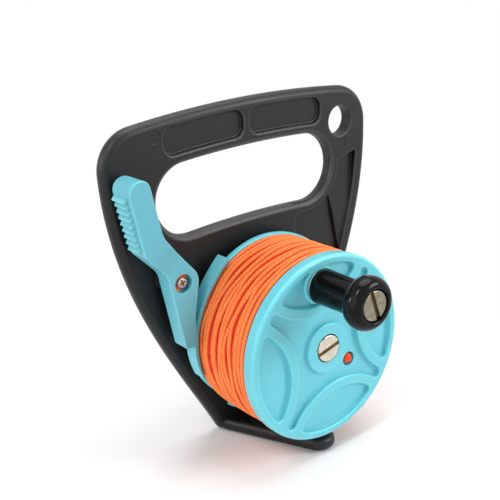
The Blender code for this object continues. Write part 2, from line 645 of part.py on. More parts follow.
def build_frame(finish, lever_axis, spool_axis):
    corner = top_corner_centre()
    lanyard = arc((corner[0], corner[1] + LANYARD_RISE), LANYARD_RADIUS, 0, 345, 15.0)
    frame = make_object("frame", extruded(frame_outline(), PLATE_FRONT, PLATE_THICK, PLATE_EDGE,
                                          [(grip_outline(), GRIP_EDGE), (lanyard, LANYARD_EDGE)]),
                        finish)
    cup = turned(tube_profile(PIVOT_CUP_BORE, PIVOT_CUP_BORE + PIVOT_CUP_WALL, LEVER_BACK + SEAT_GAP,
                              JOIN_SINK), HEAD_SEGMENTS)
    fuse(frame,
         ("foot_body", lying_flat(extruded(foot_outline(), 0.0, FOOT_THICK, FOOT_EDGE)), None),
         ("axle_boss", rod(BOSS_RADIUS, BOSS_FRONT, JOIN_SINK, ROUND_SEGMENTS), spool_axis),
         ("pivot_post", rod(PIVOT_POST_RADIUS, PIVOT_POST_FRONT, JOIN_SINK), lever_axis),
         ("pivot_cup", cup, lever_axis))

    before = PLATE_FRONT - CUT_OVERRUN
    behind = PLATE_THICK + CUT_OVERRUN
    pill_radius = TOP_ARC_RADIUS - PILL_DROP
    recesses = []
    for side, start, end in (("left", -PILL_END, -PILL_START), ("right", PILL_START, PILL_END)):
        pill = band_outline(FRAME_HEIGHT - TOP_ARC_RADIUS, pill_radius, PILL_HEIGHT / 2, start, end,
                            PILL_CORNER)
        recesses.append(("pill_front_" + side, extruded(pill, before, PILL_DEPTH), None))
        recesses.append(("pill_back_" + side, extruded(pill, PLATE_THICK - PILL_DEPTH, behind), None))
    recesses.append(("web_recess", extruded(web_recess(), before, WEB_DEPTH), None))
    low_limb = extruded(limb_recess(LIMB_FOOT_HEIGHT, LIMB_STEP_HEIGHT), before, LIMB_LOW_DEPTH)
    recesses.append(("limb_recess_low", low_limb, None))
    slope = (LIMB_TOP_DEPTH - LIMB_LOW_DEPTH) / (LIMB_TOP - LIMB_STEP_HEIGHT)
    high_limb = extruded(limb_recess(LIMB_STEP_HEIGHT - CUT_OVERRUN, LIMB_TOP), before, LIMB_LOW_DEPTH)
    for vert in high_limb.verts:
        if vert.co.y > PLATE_FRONT:
            vert.co.y += slope * (vert.co.z - LIMB_STEP_HEIGHT)
    recesses.append(("limb_recess_high", high_limb, None))

    guide = turned([(0, -CUT_OVERRUN), (GUIDE_RADIUS, -CUT_OVERRUN),
                    (GUIDE_RADIUS, FOOT_THICK + CUT_OVERRUN), (0, FOOT_THICK + CUT_OVERRUN)],
                   SMALL_SEGMENTS, closed=False)
    recesses.append(("guide_hole", move(lying_flat(guide), (0, -GUIDE_REACH, 0)), None))
    recesses.append(("axle_bore", rod(SLEEVE_BORE, BOSS_FRONT - CUT_OVERRUN, behind), spool_axis))
    nut_recess = extruded(hexagon(NUT_FLATS + 2 * SEAT_GAP), PLATE_THICK - NUT_THICK - SEAT_GAP, behind)
    recesses.append(("nut_recess", nut_recess, spool_axis))
    screw_bottom = LEVER_SCREW_HEAD_REAR + LEVER_SCREW_LENGTH + SEAT_GAP
    screw_bore = rod(LEVER_SCREW_RADIUS + SEAT_GAP, PIVOT_POST_FRONT - CUT_OVERRUN, screw_bottom)
    recesses.append(("pivot_screw_bore", screw_bore, lever_axis))
    leg_hole = rod(SPRING_WIRE_RADIUS + SEAT_GAP, before, SPRING_LEG + SEAT_GAP, SPRING_CURL_POINTS)
    leg_place = spring_leg_place(SPRING_START_DEG)
    recesses.append(("spring_leg_hole", move(leg_hole, leg_place), lever_axis))
    cut(frame, *recesses)
    return frame


# Axle


def headed_screw(name, head_radius, head_front, head_rear, radius, end, finish, parent,
                 chamfer=BOLT_HEAD_CHAMFER):
    profile = [(0, end), (radius, end), (radius, head_rear), (head_radius, head_rear),
               (head_radius, head_front + chamfer), (head_radius - chamfer, head_front), (0, head_front)]
    return make_object(name, turned(profile, HEAD_SEGMENTS, closed=False),
                       finish, parent)


def build_axle(steel, plastic, spool_axis):
    nut_rear = PLATE_THICK
    nut_front = nut_rear - NUT_THICK
    bolt = headed_screw("axle_bolt", BOLT_HEAD_RADIUS, BOLT_HEAD_FRONT, BOLT_HEAD_REAR, BOLT_RADIUS,
                        nut_rear + BOLT_END_PROUD, steel, spool_axis)
    slot = slot_outline(BOLT_HEAD_RADIUS + CUT_OVERRUN, BOLT_SLOT_WIDTH / 2, BOLT_SLOT_TURN_DEG)
    cut(bolt, ("bolt_slot", extruded(slot, BOLT_HEAD_FRONT - CUT_OVERRUN,
                                     BOLT_HEAD_FRONT + BOLT_SLOT_DEPTH), spool_axis))
    make_object("axle_sleeve", turned(tube_profile(SLEEVE_BORE, SLEEVE_RADIUS, SLEEVE_FRONT,
                                                   BOSS_FRONT - SEAT_GAP), SMALL_SEGMENTS),
                steel, spool_axis)
    make_object("axle_washer", turned(tube_profile(SLEEVE_BORE, AXLE_WASHER_RADIUS,
                                                   BOLT_HEAD_REAR + SEAT_GAP, AXLE_WASHER_REAR),
                                      SMALL_SEGMENTS), steel, spool_axis)
    make_object("thrust_washer", turned(tube_profile(SPOOL_BORE, THRUST_WASHER_RADIUS,
                                                     THRUST_WASHER_REAR - THRUST_WASHER_THICK,
                                                     THRUST_WASHER_REAR), SMALL_SEGMENTS),
                plastic, spool_axis)
    bore = arc((0, 0), SLEEVE_BORE, 0, 345, 15.0)
    make_object("axle_nut", extruded(hexagon(NUT_FLATS), nut_front, nut_rear, holes=[(bore, 0.0)]),
                steel, spool_axis)


# Spool


def notch_outline(turn_deg):
    """The ramp cut into the rear rim: it falls away slowly and ends in a radial step."""
    outside = FLANGE_RADIUS + CUT_OVERRUN
    steps = 6
    ramp = []
    for i in range(steps + 1):
        share = i / steps
        around = radians(turn_deg + NOTCH_START_DEG + (NOTCH_END_DEG - NOTCH_START_DEG) * share)
        reach = FLANGE_RADIUS - NOTCH_DEPTH * share
        ramp.append((reach * cos(around), reach * sin(around)))
    start = turn_deg + NOTCH_START_DEG
    end = turn_deg + NOTCH_END_DEG
    return without_repeats(arc((0, 0), outside, start, end) + ramp[::-1])


def build_spool_rear(finish, spool_axis):
    edge = REAR_FLANGE_EDGE
    drum_front = WINDING_FRONT + SEAT_GAP
    drum_inner = DRUM_RADIUS - DRUM_WALL
    profile = [(SPOOL_BORE, SPOOL_REAR), (FLANGE_RADIUS - edge, SPOOL_REAR),
               (FLANGE_RADIUS, SPOOL_REAR - edge), (FLANGE_RADIUS, WINDING_REAR + edge),
               (FLANGE_RADIUS - edge, WINDING_REAR), (DRUM_RADIUS, WINDING_REAR),
               (DRUM_RADIUS, drum_front), (drum_inner, drum_front), (drum_inner, WINDING_REAR),
               (HUB_RADIUS, WINDING_REAR), (HUB_RADIUS, drum_front), (SPOOL_BORE, drum_front)]
    rear = make_object("spool_rear", turned(profile), finish, spool_axis)
    notches = [extruded(notch_outline(360 / NOTCH_COUNT * i), WINDING_REAR - CUT_OVERRUN,
                        SPOOL_REAR + CUT_OVERRUN) for i in range(NOTCH_COUNT)]
    cut(rear, *((f"rim_notch_{i + 1}", bm, spool_axis) for i, bm in enumerate(notches)))


def lens_outline(turn_deg):
    """A pocket between the face's rim and an arc that bows towards the middle."""
    rim = FACE_RIM_INNER - LENS_CORNER
    bow = LENS_ARC_RADIUS - LENS_CORNER
    offset = FACE_ARC_OFFSET
    # centres of the two rounded corners: as far from the axis as from the arc's centre
    along = (rim ** 2 - bow ** 2 + offset ** 2) / (2 * offset)
    across = sqrt(rim ** 2 - along ** 2)
    rim_turn = degrees(atan2(across, along))
    bow_turn = degrees(atan2(across, along - offset))
    points = arc((0, 0), FACE_RIM_INNER, -rim_turn, rim_turn)
    points += arc((along, across), LENS_CORNER, rim_turn, bow_turn, 30.0)
    points += arc((offset, 0), LENS_ARC_RADIUS, bow_turn, 360 - bow_turn)
    points += arc((along, -across), LENS_CORNER, 360 - bow_turn, 360 - rim_turn, 30.0)
    return turned_points(without_repeats(points), turn_deg)


def turned_points(points, turn_deg):
    c, s = cos(radians(turn_deg)), sin(radians(turn_deg))
    return [(x * c - z * s, x * s + z * c) for x, z in points]


def star_outline():
    """The recess between the lens pockets: one round-ended arm between each two arcs."""
    half_pitch = 180 / FACE_COUNT
    offset = FACE_ARC_OFFSET
    # the arm's end sits where the two arcs come closest to each other
    reach = offset * cos(radians(half_pitch))
    points = []
    for i in range(FACE_COUNT):
        turn = FACE_TURN_DEG + 2 * half_pitch * i
        centre = turned_points([(offset, 0)], turn)[0]
        facing = 90 + half_pitch
        points += arc(centre, STAR_ARC_RADIUS, turn - facing + 360, turn + facing)
        end = turned_points([(reach, 0)], turn + half_pitch)[0]
        start = turn + facing + 180
        points += arc(end, STAR_END_RADIUS, start - 360, start - 180, 30.0)
    return without_repeats(points)


def build_spool_front(finish, spool_axis, knob_axis):
    edge = FRONT_EDGE
    spigot_outer = DRUM_RADIUS - DRUM_WALL - SEAT_GAP
    spigot_inner = spigot_outer - SPIGOT_WALL
    spigot_rear = WINDING_FRONT + SPIGOT_LENGTH
    bend = edge * (1 - cos(pi / 4))
    profile = [(SPOOL_BORE, WINDING_FRONT), (spigot_inner, WINDING_FRONT), (spigot_inner, spigot_rear),
               (spigot_outer, spigot_rear), (spigot_outer, WINDING_FRONT),
               (FRONT_RADIUS - edge, WINDING_FRONT), (FRONT_RADIUS - bend, WINDING_FRONT - bend),
               (FRONT_RADIUS, WINDING_FRONT - edge), (FRONT_RADIUS, SPOOL_FRONT + edge),
               (FRONT_RADIUS - bend, SPOOL_FRONT + bend), (FRONT_RADIUS - edge, SPOOL_FRONT),
               (SPOOL_BORE, SPOOL_FRONT)]
    front = make_object("spool_front", turned(profile), finish, spool_axis)
    before = SPOOL_FRONT - CUT_OVERRUN
    behind = WINDING_FRONT + CUT_OVERRUN
    pockets = [("star_recess", extruded(star_outline(), before, FACE_FLOOR), spool_axis)]
    for i in range(FACE_COUNT):
        outline = lens_outline(FACE_TURN_DEG + 360 / FACE_COUNT * i)
        pockets.append((f"lens_pocket_{i + 1}", extruded(outline, before, FACE_FLOOR), spool_axis))
    cut(front, *pockets)
    fuse(front,
         ("hub_ring", rod(RING_RADIUS, RING_FRONT, FACE_FLOOR + JOIN_SINK, HEAD_SEGMENTS), spool_axis),
         ("knob_boss", rod(KNOB_BOSS_RADIUS, SPOOL_FRONT, FACE_FLOOR + JOIN_SINK, HEAD_SEGMENTS),
          knob_axis))
    nut_pocket = extruded(hexagon(KNOB_NUT_FLATS + 2 * SEAT_GAP), WINDING_FRONT - KNOB_NUT_SINK, behind)
    hole = (LINE_HOLE_ACROSS, 0, -LINE_HOLE_DROP)
    tail_hole = rod(LINE_RADIUS + SEAT_GAP, before, spigot_rear + CUT_OVERRUN, SPRING_CURL_POINTS)
    line_hole = rod(LINE_HOLE_RADIUS, before, FACE_FLOOR + LINE_HOLE_DEPTH)
    cut(front,
        ("hub_sink", rod(BOLT_HEAD_RADIUS + 2 * SEAT_GAP, before, HUB_SINK_FLOOR, HEAD_SEGMENTS),
         spool_axis),
        ("hub_bore", rod(SPOOL_BORE, before, behind), spool_axis),
        ("knob_screw_bore", rod(KNOB_SCREW_RADIUS + SEAT_GAP, before, behind), knob_axis),
        ("knob_nut_pocket", nut_pocket, knob_axis),
        ("line_hole", move(line_hole, hole), spool_axis),
        ("line_tail_hole", move(tail_hole, hole), spool_axis))


# Line


def winding_path():
    """Centre line of the outer layer: each turn lies flat, then climbs to the next one's place."""
    lowest = WINDING_REAR - SEAT_GAP - LINE_RADIUS
    highest = WINDING_FRONT + SEAT_GAP + LINE_RADIUS
    climbs = int((lowest - highest) / LINE_PITCH)
    flat = 1 - LINE_CLIMB_SHARE
    middle = WINDING_RADIUS - LINE_RADIUS
    points = []
    for i in range(int((climbs + flat) * LOOP_POINTS) + 1):
        turn, part = divmod(i / LOOP_POINTS, 1)
        climb = max(0.0, (part - flat) / LINE_CLIMB_SHARE)
        share = (turn + climb * climb * (3 - 2 * climb)) / climbs
        around = 2 * pi * part
        reach = middle - LINE_CROWN * (2 * share - 1) ** 2
        points.append(Vector((reach * cos(around), lowest + (highest - lowest) * share,
                              reach * sin(around))))
    # both ends run straight for one line's diameter
    first = (points[0] - points[1]).normalized() * 2 * LINE_RADIUS
    last = (points[-1] - points[-2]).normalized() * 2 * LINE_RADIUS
    return [points[0] + first] + points + [points[-1] + last]


def tube(name, points, radius, finish, parent):
    curve = bpy.data.curves.new(name, "CURVE")
    curve.dimensions = "3D"
    curve.bevel_depth = radius
    curve.bevel_resolution = 1
    curve.use_fill_caps = True
    spline = curve.splines.new("POLY")
    spline.points.add(len(points) - 1)
    for target, point in zip(spline.points, points):
        target.co = (*point, 1.0)
    curve.materials.append(finish)
    made = bpy.data.objects.new(name, curve)
    bpy.context.collection.objects.link(made)
    made.parent = parent
    return made


def print_gap(points):
    """Least distance between turns of the winding, surface to surface."""
    apart = LOOP_POINTS // 2
    least = min((points[i] - points[j]).length
                for i in range(len(points)) for j in range(i + apart, len(points)))
    print(f"winding: least gap to itself {(least - 2 * LINE_RADIUS) / MM:.2f} mm")


def build_line(line, core, spool_axis):
    path = winding_path()
    print_gap(path)
    tube("line_winding", path, LINE_RADIUS, line, spool_axis)
    sag = WINDING_RADIUS * (1 - cos(pi / LOOP_POINTS))
    top = WINDING_RADIUS - 2 * LINE_RADIUS - SEAT_GAP - sag
    rear = WINDING_REAR - SEAT_GAP
    front = WINDING_FRONT + SEAT_GAP
    steps = 6
    crown = []
    for i in range(steps + 1):
        share = i / steps
        crown.append((top - LINE_CROWN * (2 * share - 1) ** 2, rear + (front - rear) * share))
    inner = DRUM_RADIUS + SEAT_GAP
    make_object("line_core", turned([(inner, rear)] + crown + [(inner, front)], LOOP_POINTS * 2),
                core, spool_axis)
    knot_front = FACE_FLOOR - KNOT_PROUD
    knot_middle = knot_front + KNOT_HALF_THICK
    half = [(KNOT_RADIUS * sin(radians(a)), knot_middle - KNOT_HALF_THICK * cos(radians(a)))
            for a in range(0, 166, 15)]
    tail = [p for p in half if p[0] > LINE_RADIUS or p[1] < knot_middle]
    tail += [(LINE_RADIUS, tail[-1][1] + JOIN_SINK), (LINE_RADIUS, knot_middle + KNOT_TAIL),
             (0, knot_middle + KNOT_TAIL)]
    knot = turned(tail, SMALL_SEGMENTS // 2, closed=False)
    make_object("line_knot", move(knot, (LINE_HOLE_ACROSS, 0, -LINE_HOLE_DROP)), line, spool_axis)


# Knob


def build_knob(plastic, steel, knob_axis):
    barrel_front = KNOB_REAR - KNOB_BARREL_LENGTH
    widest = barrel_front - KNOB_HEAD_REAR
    spread = KNOB_HEAD_RADIUS - KNOB_BARREL_RADIUS
    dome = KNOB_HEAD_RADIUS - KNOB_LIP_RADIUS
    profile = [(KNOB_BORE, KNOB_REAR), (KNOB_BARREL_RADIUS - KNOB_EDGE, KNOB_REAR),
               (KNOB_BARREL_RADIUS, KNOB_REAR - KNOB_EDGE)]
    profile += [(KNOB_BARREL_RADIUS + spread * sin(radians(a)),
                 widest + KNOB_HEAD_REAR * cos(radians(a))) for a in range(0, 90, 18)]
    profile += [(KNOB_LIP_RADIUS + dome * cos(radians(a)),
                 widest + (KNOB_FRONT - widest) * sin(radians(a))) for a in range(0, 91, 18)]
    profile += [(KNOB_RECESS_RADIUS, KNOB_FRONT + KNOB_EDGE), (KNOB_RECESS_RADIUS, KNOB_RECESS_FLOOR),
                (KNOB_BORE, KNOB_RECESS_FLOOR)]
    make_object("knob", turned(profile, HEAD_SEGMENTS), plastic, knob_axis)
    make_object("knob_washer", turned(tube_profile(KNOB_BORE, KNOB_WASHER_RADIUS,
                                                   KNOB_WASHER_REAR - KNOB_WASHER_THICK,
                                                   KNOB_WASHER_REAR), SMALL_SEGMENTS),
                plastic, knob_axis)
    make_object("knob_sleeve", turned(tube_profile(KNOB_SLEEVE_BORE, KNOB_SLEEVE_RADIUS,
                                                   KNOB_SLEEVE_FRONT, KNOB_WASHER_REAR),
                                      SMALL_SEGMENTS), steel, knob_axis)
    nut_front = WINDING_FRONT - KNOB_NUT_SINK + SEAT_GAP
    nut_rear = nut_front + KNOB_NUT_THICK
    head_front = KNOB_HEAD_REAR_FACE - KNOB_SCREW_HEAD_THICK
    screw = headed_screw("knob_screw", KNOB_SCREW_HEAD_RADIUS, head_front, KNOB_HEAD_REAR_FACE,
                         KNOB_SCREW_RADIUS, nut_rear + KNOB_SCREW_PAST_NUT, steel, knob_axis)
    slot = slot_outline(KNOB_SCREW_HEAD_RADIUS + CUT_OVERRUN, BOLT_SLOT_WIDTH / 2, KNOB_SLOT_TURN_DEG)
    cut(screw, ("knob_screw_slot", extruded(slot, head_front - CUT_OVERRUN,
                                            head_front + BOLT_SLOT_DEPTH), knob_axis))
    bore = arc((0, 0), KNOB_SLEEVE_BORE, 0, 345, 15.0)
    make_object("knob_nut", extruded(hexagon(KNOB_NUT_FLATS), nut_front, nut_rear,
                                     holes=[(bore, 0.0)]), steel, knob_axis)


# Lever


def lever_corners():
    return [(x * LEVER_SIZE, z * LEVER_SIZE, radius) for x, z, radius in LEVER_CORNER_SHARES]


def ramp_direction():
    lean = radians(RAMP_LEAN_DEG)
    return Vector((-sin(lean), 0, cos(lean)))


def thumb_thickness(place):
    """How much thicker the lever is at a place on its front, measured from the pivot."""
    reach = (place - Vector((RAMP_ACROSS, 0, RAMP_RISE))).dot(ramp_direction())
    on_ramp = RAMP_EXTRA * min(1.0, max(0.0, reach / RAMP_LENGTH))
    return on_ramp + max(0.0, reach - RAMP_LENGTH) * tan(radians(THUMB_TILT_DEG))


def thickened(bm):
    """The slab with its front moved forwards along the ramp and the thumb part."""
    for vert in bm.verts:
        depth = (LEVER_BACK - vert.co.y) / LEVER_THICK
        vert.co.y -= thumb_thickness(vert.co) * depth
    return bm


def rib_outline(index):
    """One thumb rib, across the ribbed side of the lever: flat below and sloping above."""
    # the ribbed side runs between the last corners but one
    *_, high, low, _ = lever_corners()
    start = Vector(low[:2])
    along = (Vector(high[:2]) - start).normalized()
    outward = Vector((-along.y, along.x))
    crest = start + along * (RIB_FIRST + RIB_PITCH * index)
    half = RIB_TIP_WIDTH / 2
    places = ((-half, -JOIN_SINK), (RIB_ROOT_WIDTH - half, -JOIN_SINK), (half, RIB_HEIGHT),
              (-half, RIB_HEIGHT))
    return [tuple(crest + along * a + outward * o) for a, o in places]


def arm_outline():
    """The brake arm: a band round the rear rim with a square top end and a thin tail."""
    steps = 18
    inner = []
    outer = []
    for i in range(steps + 1):
        turn = ARM_TOP_DEG + (ARM_TAIL_DEG - ARM_TOP_DEG) * i / steps
        lift = max(0.0, (ARM_LIFT_END_DEG - turn) / (ARM_LIFT_END_DEG - ARM_TOP_DEG))
        taper = max(0.0, (turn - ARM_TAPER_START_DEG) / (ARM_TAIL_DEG - ARM_TAPER_START_DEG))
        reach = FLANGE_RADIUS + ARM_CLEARANCE + ARM_TOP_LIFT * lift ** 2
        thick = ARM_THICK + (ARM_TOP_THICK - ARM_THICK) * lift + (ARM_TAIL_THICK - ARM_THICK) * taper
        direction = Vector((cos(radians(turn)), sin(radians(turn))))
        inner.append(tuple(direction * reach))
        outer.append(tuple(direction * (reach + thick)))
    return without_repeats(outer + inner[::-1])


def root_outline():
    """The block that carries the brake arm on the lever's lower end."""
    inner = FLANGE_RADIUS + ARM_CLEARANCE + JOIN_SINK / 2
    outer = inner + ROOT_THICK
    near = arc((0, 0), inner, ROOT_TOP_DEG, ROOT_FOOT_DEG, 4.0)
    far = arc((0, 0), outer, ROOT_TOP_DEG, ROOT_FOOT_DEG, 4.0)
    return far + near[::-1]


def build_lever(finish, lever_axis, spool_axis):
    outline = rounded_outline(lever_corners())
    body = extruded(outline, LEVER_FRONT, LEVER_BACK, LEVER_EDGE)
    foot = Vector((RAMP_ACROSS, 0, RAMP_RISE))
    for place in (foot, foot + ramp_direction() * RAMP_LENGTH):
        bmesh.ops.bisect_plane(body, geom=body.verts[:] + body.edges[:] + body.faces[:],
                               plane_co=place, plane_no=ramp_direction())
    thickened(body)
    bmesh.ops.triangulate(body, faces=body.faces)
    lever = make_object("lever", body, finish, lever_axis)
    ribs = [thickened(extruded(rib_outline(i), LEVER_FRONT + RIB_STEP, LEVER_BACK - RIB_STEP))
            for i in range(RIB_COUNT)]
    arm_back = PLATE_FRONT - ARM_BACK
    root_block = extruded(root_outline(), arm_back - ARM_DEPTH + JOIN_SINK, arm_back - JOIN_SINK)
    fuse(lever,
         ("arm_root", root_block, spool_axis),
         ("brake_arm", extruded(arm_outline(), arm_back - ARM_DEPTH, arm_back), spool_axis),
         *((f"thumb_rib_{i + 1}", bm, lever_axis) for i, bm in enumerate(ribs)))
    swing = SPRING_RADIUS * sin(radians(LEVER_TRAVEL_DEG))
    leg_hole = rod(SPRING_WIRE_RADIUS + SEAT_GAP + swing, LEVER_BACK - SPRING_LEG - SEAT_GAP,
                   LEVER_BACK + CUT_OVERRUN, SPRING_CURL_POINTS)
    leg_place = spring_leg_place(SPRING_START_DEG + 360 * SPRING_TURNS)
    cut(lever,
        ("lever_bore", rod(PIVOT_POST_RADIUS + SEAT_GAP, LEVER_FRONT - CUT_OVERRUN,
                           LEVER_BACK + CUT_OVERRUN), lever_axis),
        ("lever_sink", rod(LEVER_SINK_RADIUS, LEVER_FRONT - CUT_OVERRUN, LEVER_SINK_FLOOR),
         lever_axis),
        ("lever_leg_hole", move(leg_hole, leg_place), lever_axis))


def build_lever_fixings(washer_finish, steel, spring_steel, lever_axis):
    make_object("lever_washer", turned(tube_profile(LEVER_SCREW_RADIUS + SEAT_GAP,
                                                    LEVER_SINK_RADIUS - SEAT_GAP,
                                                    LEVER_WASHER_REAR - LEVER_WASHER_THICK,
                                                    LEVER_WASHER_REAR), SMALL_SEGMENTS),
                washer_finish, lever_axis)
    head_front = LEVER_SCREW_HEAD_REAR - LEVER_SCREW_HEAD_THICK
    screw = headed_screw("lever_screw", LEVER_SCREW_HEAD_RADIUS, head_front, LEVER_SCREW_HEAD_REAR,
                         LEVER_SCREW_RADIUS, LEVER_SCREW_HEAD_REAR + LEVER_SCREW_LENGTH, steel,
                         lever_axis)
    bars = [extruded(slot_outline(CROSS_REACH, CROSS_WIDTH / 2, 45 + 90 * i),
                     head_front - CUT_OVERRUN, head_front + CROSS_DEPTH) for i in range(2)]
    cut(screw, *((f"cross_slot_{i + 1}", bm, lever_axis) for i, bm in enumerate(bars)))
    # torsion spring: two legs along Y, one into the frame and one into the lever
    rear = PLATE_FRONT - SEAT_GAP - SPRING_WIRE_RADIUS
    count = int(SPRING_CURL_POINTS * SPRING_TURNS)
    coil = []
    for i in range(count + 1):
        around = radians(SPRING_START_DEG) + 2 * pi * i / SPRING_CURL_POINTS
        coil.append(Vector((SPRING_RADIUS * cos(around), rear - SPRING_PITCH * i / SPRING_CURL_POINTS,
                            SPRING_RADIUS * sin(around))))
    first = Vector((coil[0].x, SPRING_LEG, coil[0].z))
    last = Vector((coil[-1].x, LEVER_BACK - SPRING_LEG, coil[-1].z))
    tube("lever_spring", [first] + coil + [last], SPRING_WIRE_RADIUS, spring_steel, lever_axis)


def main():
    for old in list(bpy.data.objects):
        bpy.data.objects.remove(old)

    black = material("frame_plastic", (0.030, 0.030, 0.032), 0.45)
    gloss = material("knob_plastic", (0.012, 0.012, 0.013), 0.12)
    cyan = material("spool_plastic", (0.115, 0.578, 0.680), 0.35)
    orange = material("line_orange", (1.0, 0.170, 0.038), 0.75)
    washer_orange = material("washer_orange", (0.90, 0.120, 0.030), 0.50)
    nickel = material("screw_nickel", (0.62, 0.58, 0.50), 0.28, 1.0)
    nylon = material("washer_nylon", (0.80, 0.80, 0.76), 0.50)
    spring_steel = material("spring_steel", (0.45, 0.45, 0.46), 0.35, 1.0)

    spool_axis = empty("spool_axis", (0, 0, AXIS_HEIGHT))
    knob_axis = empty("knob_axis", (KNOB_ACROSS, 0, AXIS_HEIGHT + KNOB_RISE))
    lever_axis = empty("lever_axis", (PIVOT_ACROSS, 0, AXIS_HEIGHT + PIVOT_RISE))

    build_frame(black, lever_axis, spool_axis)
    build_axle(nickel, nylon, spool_axis)
    build_spool_rear(cyan, spool_axis)
    build_spool_front(cyan, spool_axis, knob_axis)
    build_line(orange, orange, spool_axis)
    build_knob(gloss, nickel, knob_axis)
    build_lever(cyan, lever_axis, spool_axis)
    build_lever_fixings(washer_orange, nickel, spring_steel, lever_axis)


main()
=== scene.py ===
# Handled line reel: the looks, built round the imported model.
# Outlines and profiles are in millimetres, drawn in the XZ plane, X to the right and Z up.
# A finished mesh is scaled to metres in toMetres.

import json
from itertools import groupby
from math import acos, atan2, ceil, cos, degrees, hypot, pi, radians, sin, sqrt, tan

import bmesh
import bpy
from mathutils import Matrix, Vector, noise

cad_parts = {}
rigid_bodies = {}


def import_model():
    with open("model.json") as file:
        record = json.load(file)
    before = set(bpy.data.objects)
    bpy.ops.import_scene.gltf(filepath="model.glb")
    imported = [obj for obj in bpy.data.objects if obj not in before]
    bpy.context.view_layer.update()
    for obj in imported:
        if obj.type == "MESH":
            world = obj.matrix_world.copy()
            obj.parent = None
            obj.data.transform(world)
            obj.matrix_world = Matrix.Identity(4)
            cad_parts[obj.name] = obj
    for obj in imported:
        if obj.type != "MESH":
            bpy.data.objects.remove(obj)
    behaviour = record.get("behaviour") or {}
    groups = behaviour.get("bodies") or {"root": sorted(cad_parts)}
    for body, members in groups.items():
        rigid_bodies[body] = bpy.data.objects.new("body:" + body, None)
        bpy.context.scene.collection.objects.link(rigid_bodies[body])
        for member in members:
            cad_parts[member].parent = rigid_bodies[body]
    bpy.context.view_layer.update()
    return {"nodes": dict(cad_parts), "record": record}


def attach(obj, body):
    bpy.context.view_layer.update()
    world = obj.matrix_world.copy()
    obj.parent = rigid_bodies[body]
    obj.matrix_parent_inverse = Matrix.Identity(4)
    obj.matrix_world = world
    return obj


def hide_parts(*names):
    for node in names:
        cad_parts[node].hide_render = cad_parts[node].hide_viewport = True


for old in list(bpy.data.objects):
    bpy.data.objects.remove(old)

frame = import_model()
mm = 0.001
print("frame loaded:", len(frame["nodes"]), "nodes")

# places that several pieces share
places = {
    "spoolAxis": (0.0, 49.0), "knobAxis": (-3.6, 78.0), "leverAxis": (-45.6, 81.5),
    "spoolRear": -5.6, "windingRear": -8.6, "windingFront": -39.3, "faceFloor": -43.6,
    "spoolFront": -45.8,
}


def onAxis(axis):
    return (places[axis][0], 0, places[axis][1])


def knobFromSpool():
    return tuple(k - s for k, s in zip(places["knobAxis"], places["spoolAxis"]))


def linkObject(name, data):
    made = bpy.data.objects.new(name, data)
    bpy.context.scene.collection.objects.link(made)
    return made


def meshObject(name, bm, material):
    mesh = bpy.data.meshes.new(name)
    bm.to_mesh(mesh)
    bm.free()
    mesh.materials.append(material)
    return linkObject(name, mesh)


# Nodes and materials


def feed(tree, sockets, values):
    # an output is linked to its socket, anything else is set as the socket's value
    for key, value in values.items():
        if isinstance(value, bpy.types.NodeSocket):
            tree.links.new(value, sockets[key])
        else:
            sockets[key].default_value = value


def addNode(tree, kind, values=None, **settings):
    node = tree.nodes.new("ShaderNode" + kind)
    for key, value in settings.items():
        setattr(node, key, value)
    feed(tree, node.inputs, values or {})
    return node


def mathNode(tree, operation, first, second, clamp=False):
    return addNode(tree, "Math", {0: first, 1: second}, operation=operation, use_clamp=clamp).outputs[0]


def plus(tree, first, second, clamp=False):
    return mathNode(tree, "ADD", first, second, clamp)


def times(tree, first, second, clamp=False):
    return mathNode(tree, "MULTIPLY", first, second, clamp)


def colourMix(tree, factor, first, second):
    return addNode(tree, "Mix", {"Factor": factor, "A": first, "B": second},
                   data_type="RGBA").outputs["Result"]


def noiseNode(tree, place, scale, detail=2.0, roughness=0.5):
    return addNode(tree, "TexNoise", {"Vector": place, "Scale": scale, "Detail": detail,
                                      "Roughness": roughness}).outputs["Fac"]


def objectPlace(tree):
    return addNode(tree, "TexCoord").outputs["Object"]


def paintedLightMask(tree):
    return addNode(tree, "Attribute", attribute_name="paintedLight").outputs["Fac"]


def bumpNormal(tree, height, look):
    return addNode(tree, "Bump", {"Strength": look["bump"], "Distance": look["bumpHeight"],
                                  "Height": height}).outputs["Normal"]


def newMaterial(name):
    made = bpy.data.materials.new(name)
    made.use_nodes = True
    return made, made.node_tree, made.node_tree.nodes["Principled BSDF"]


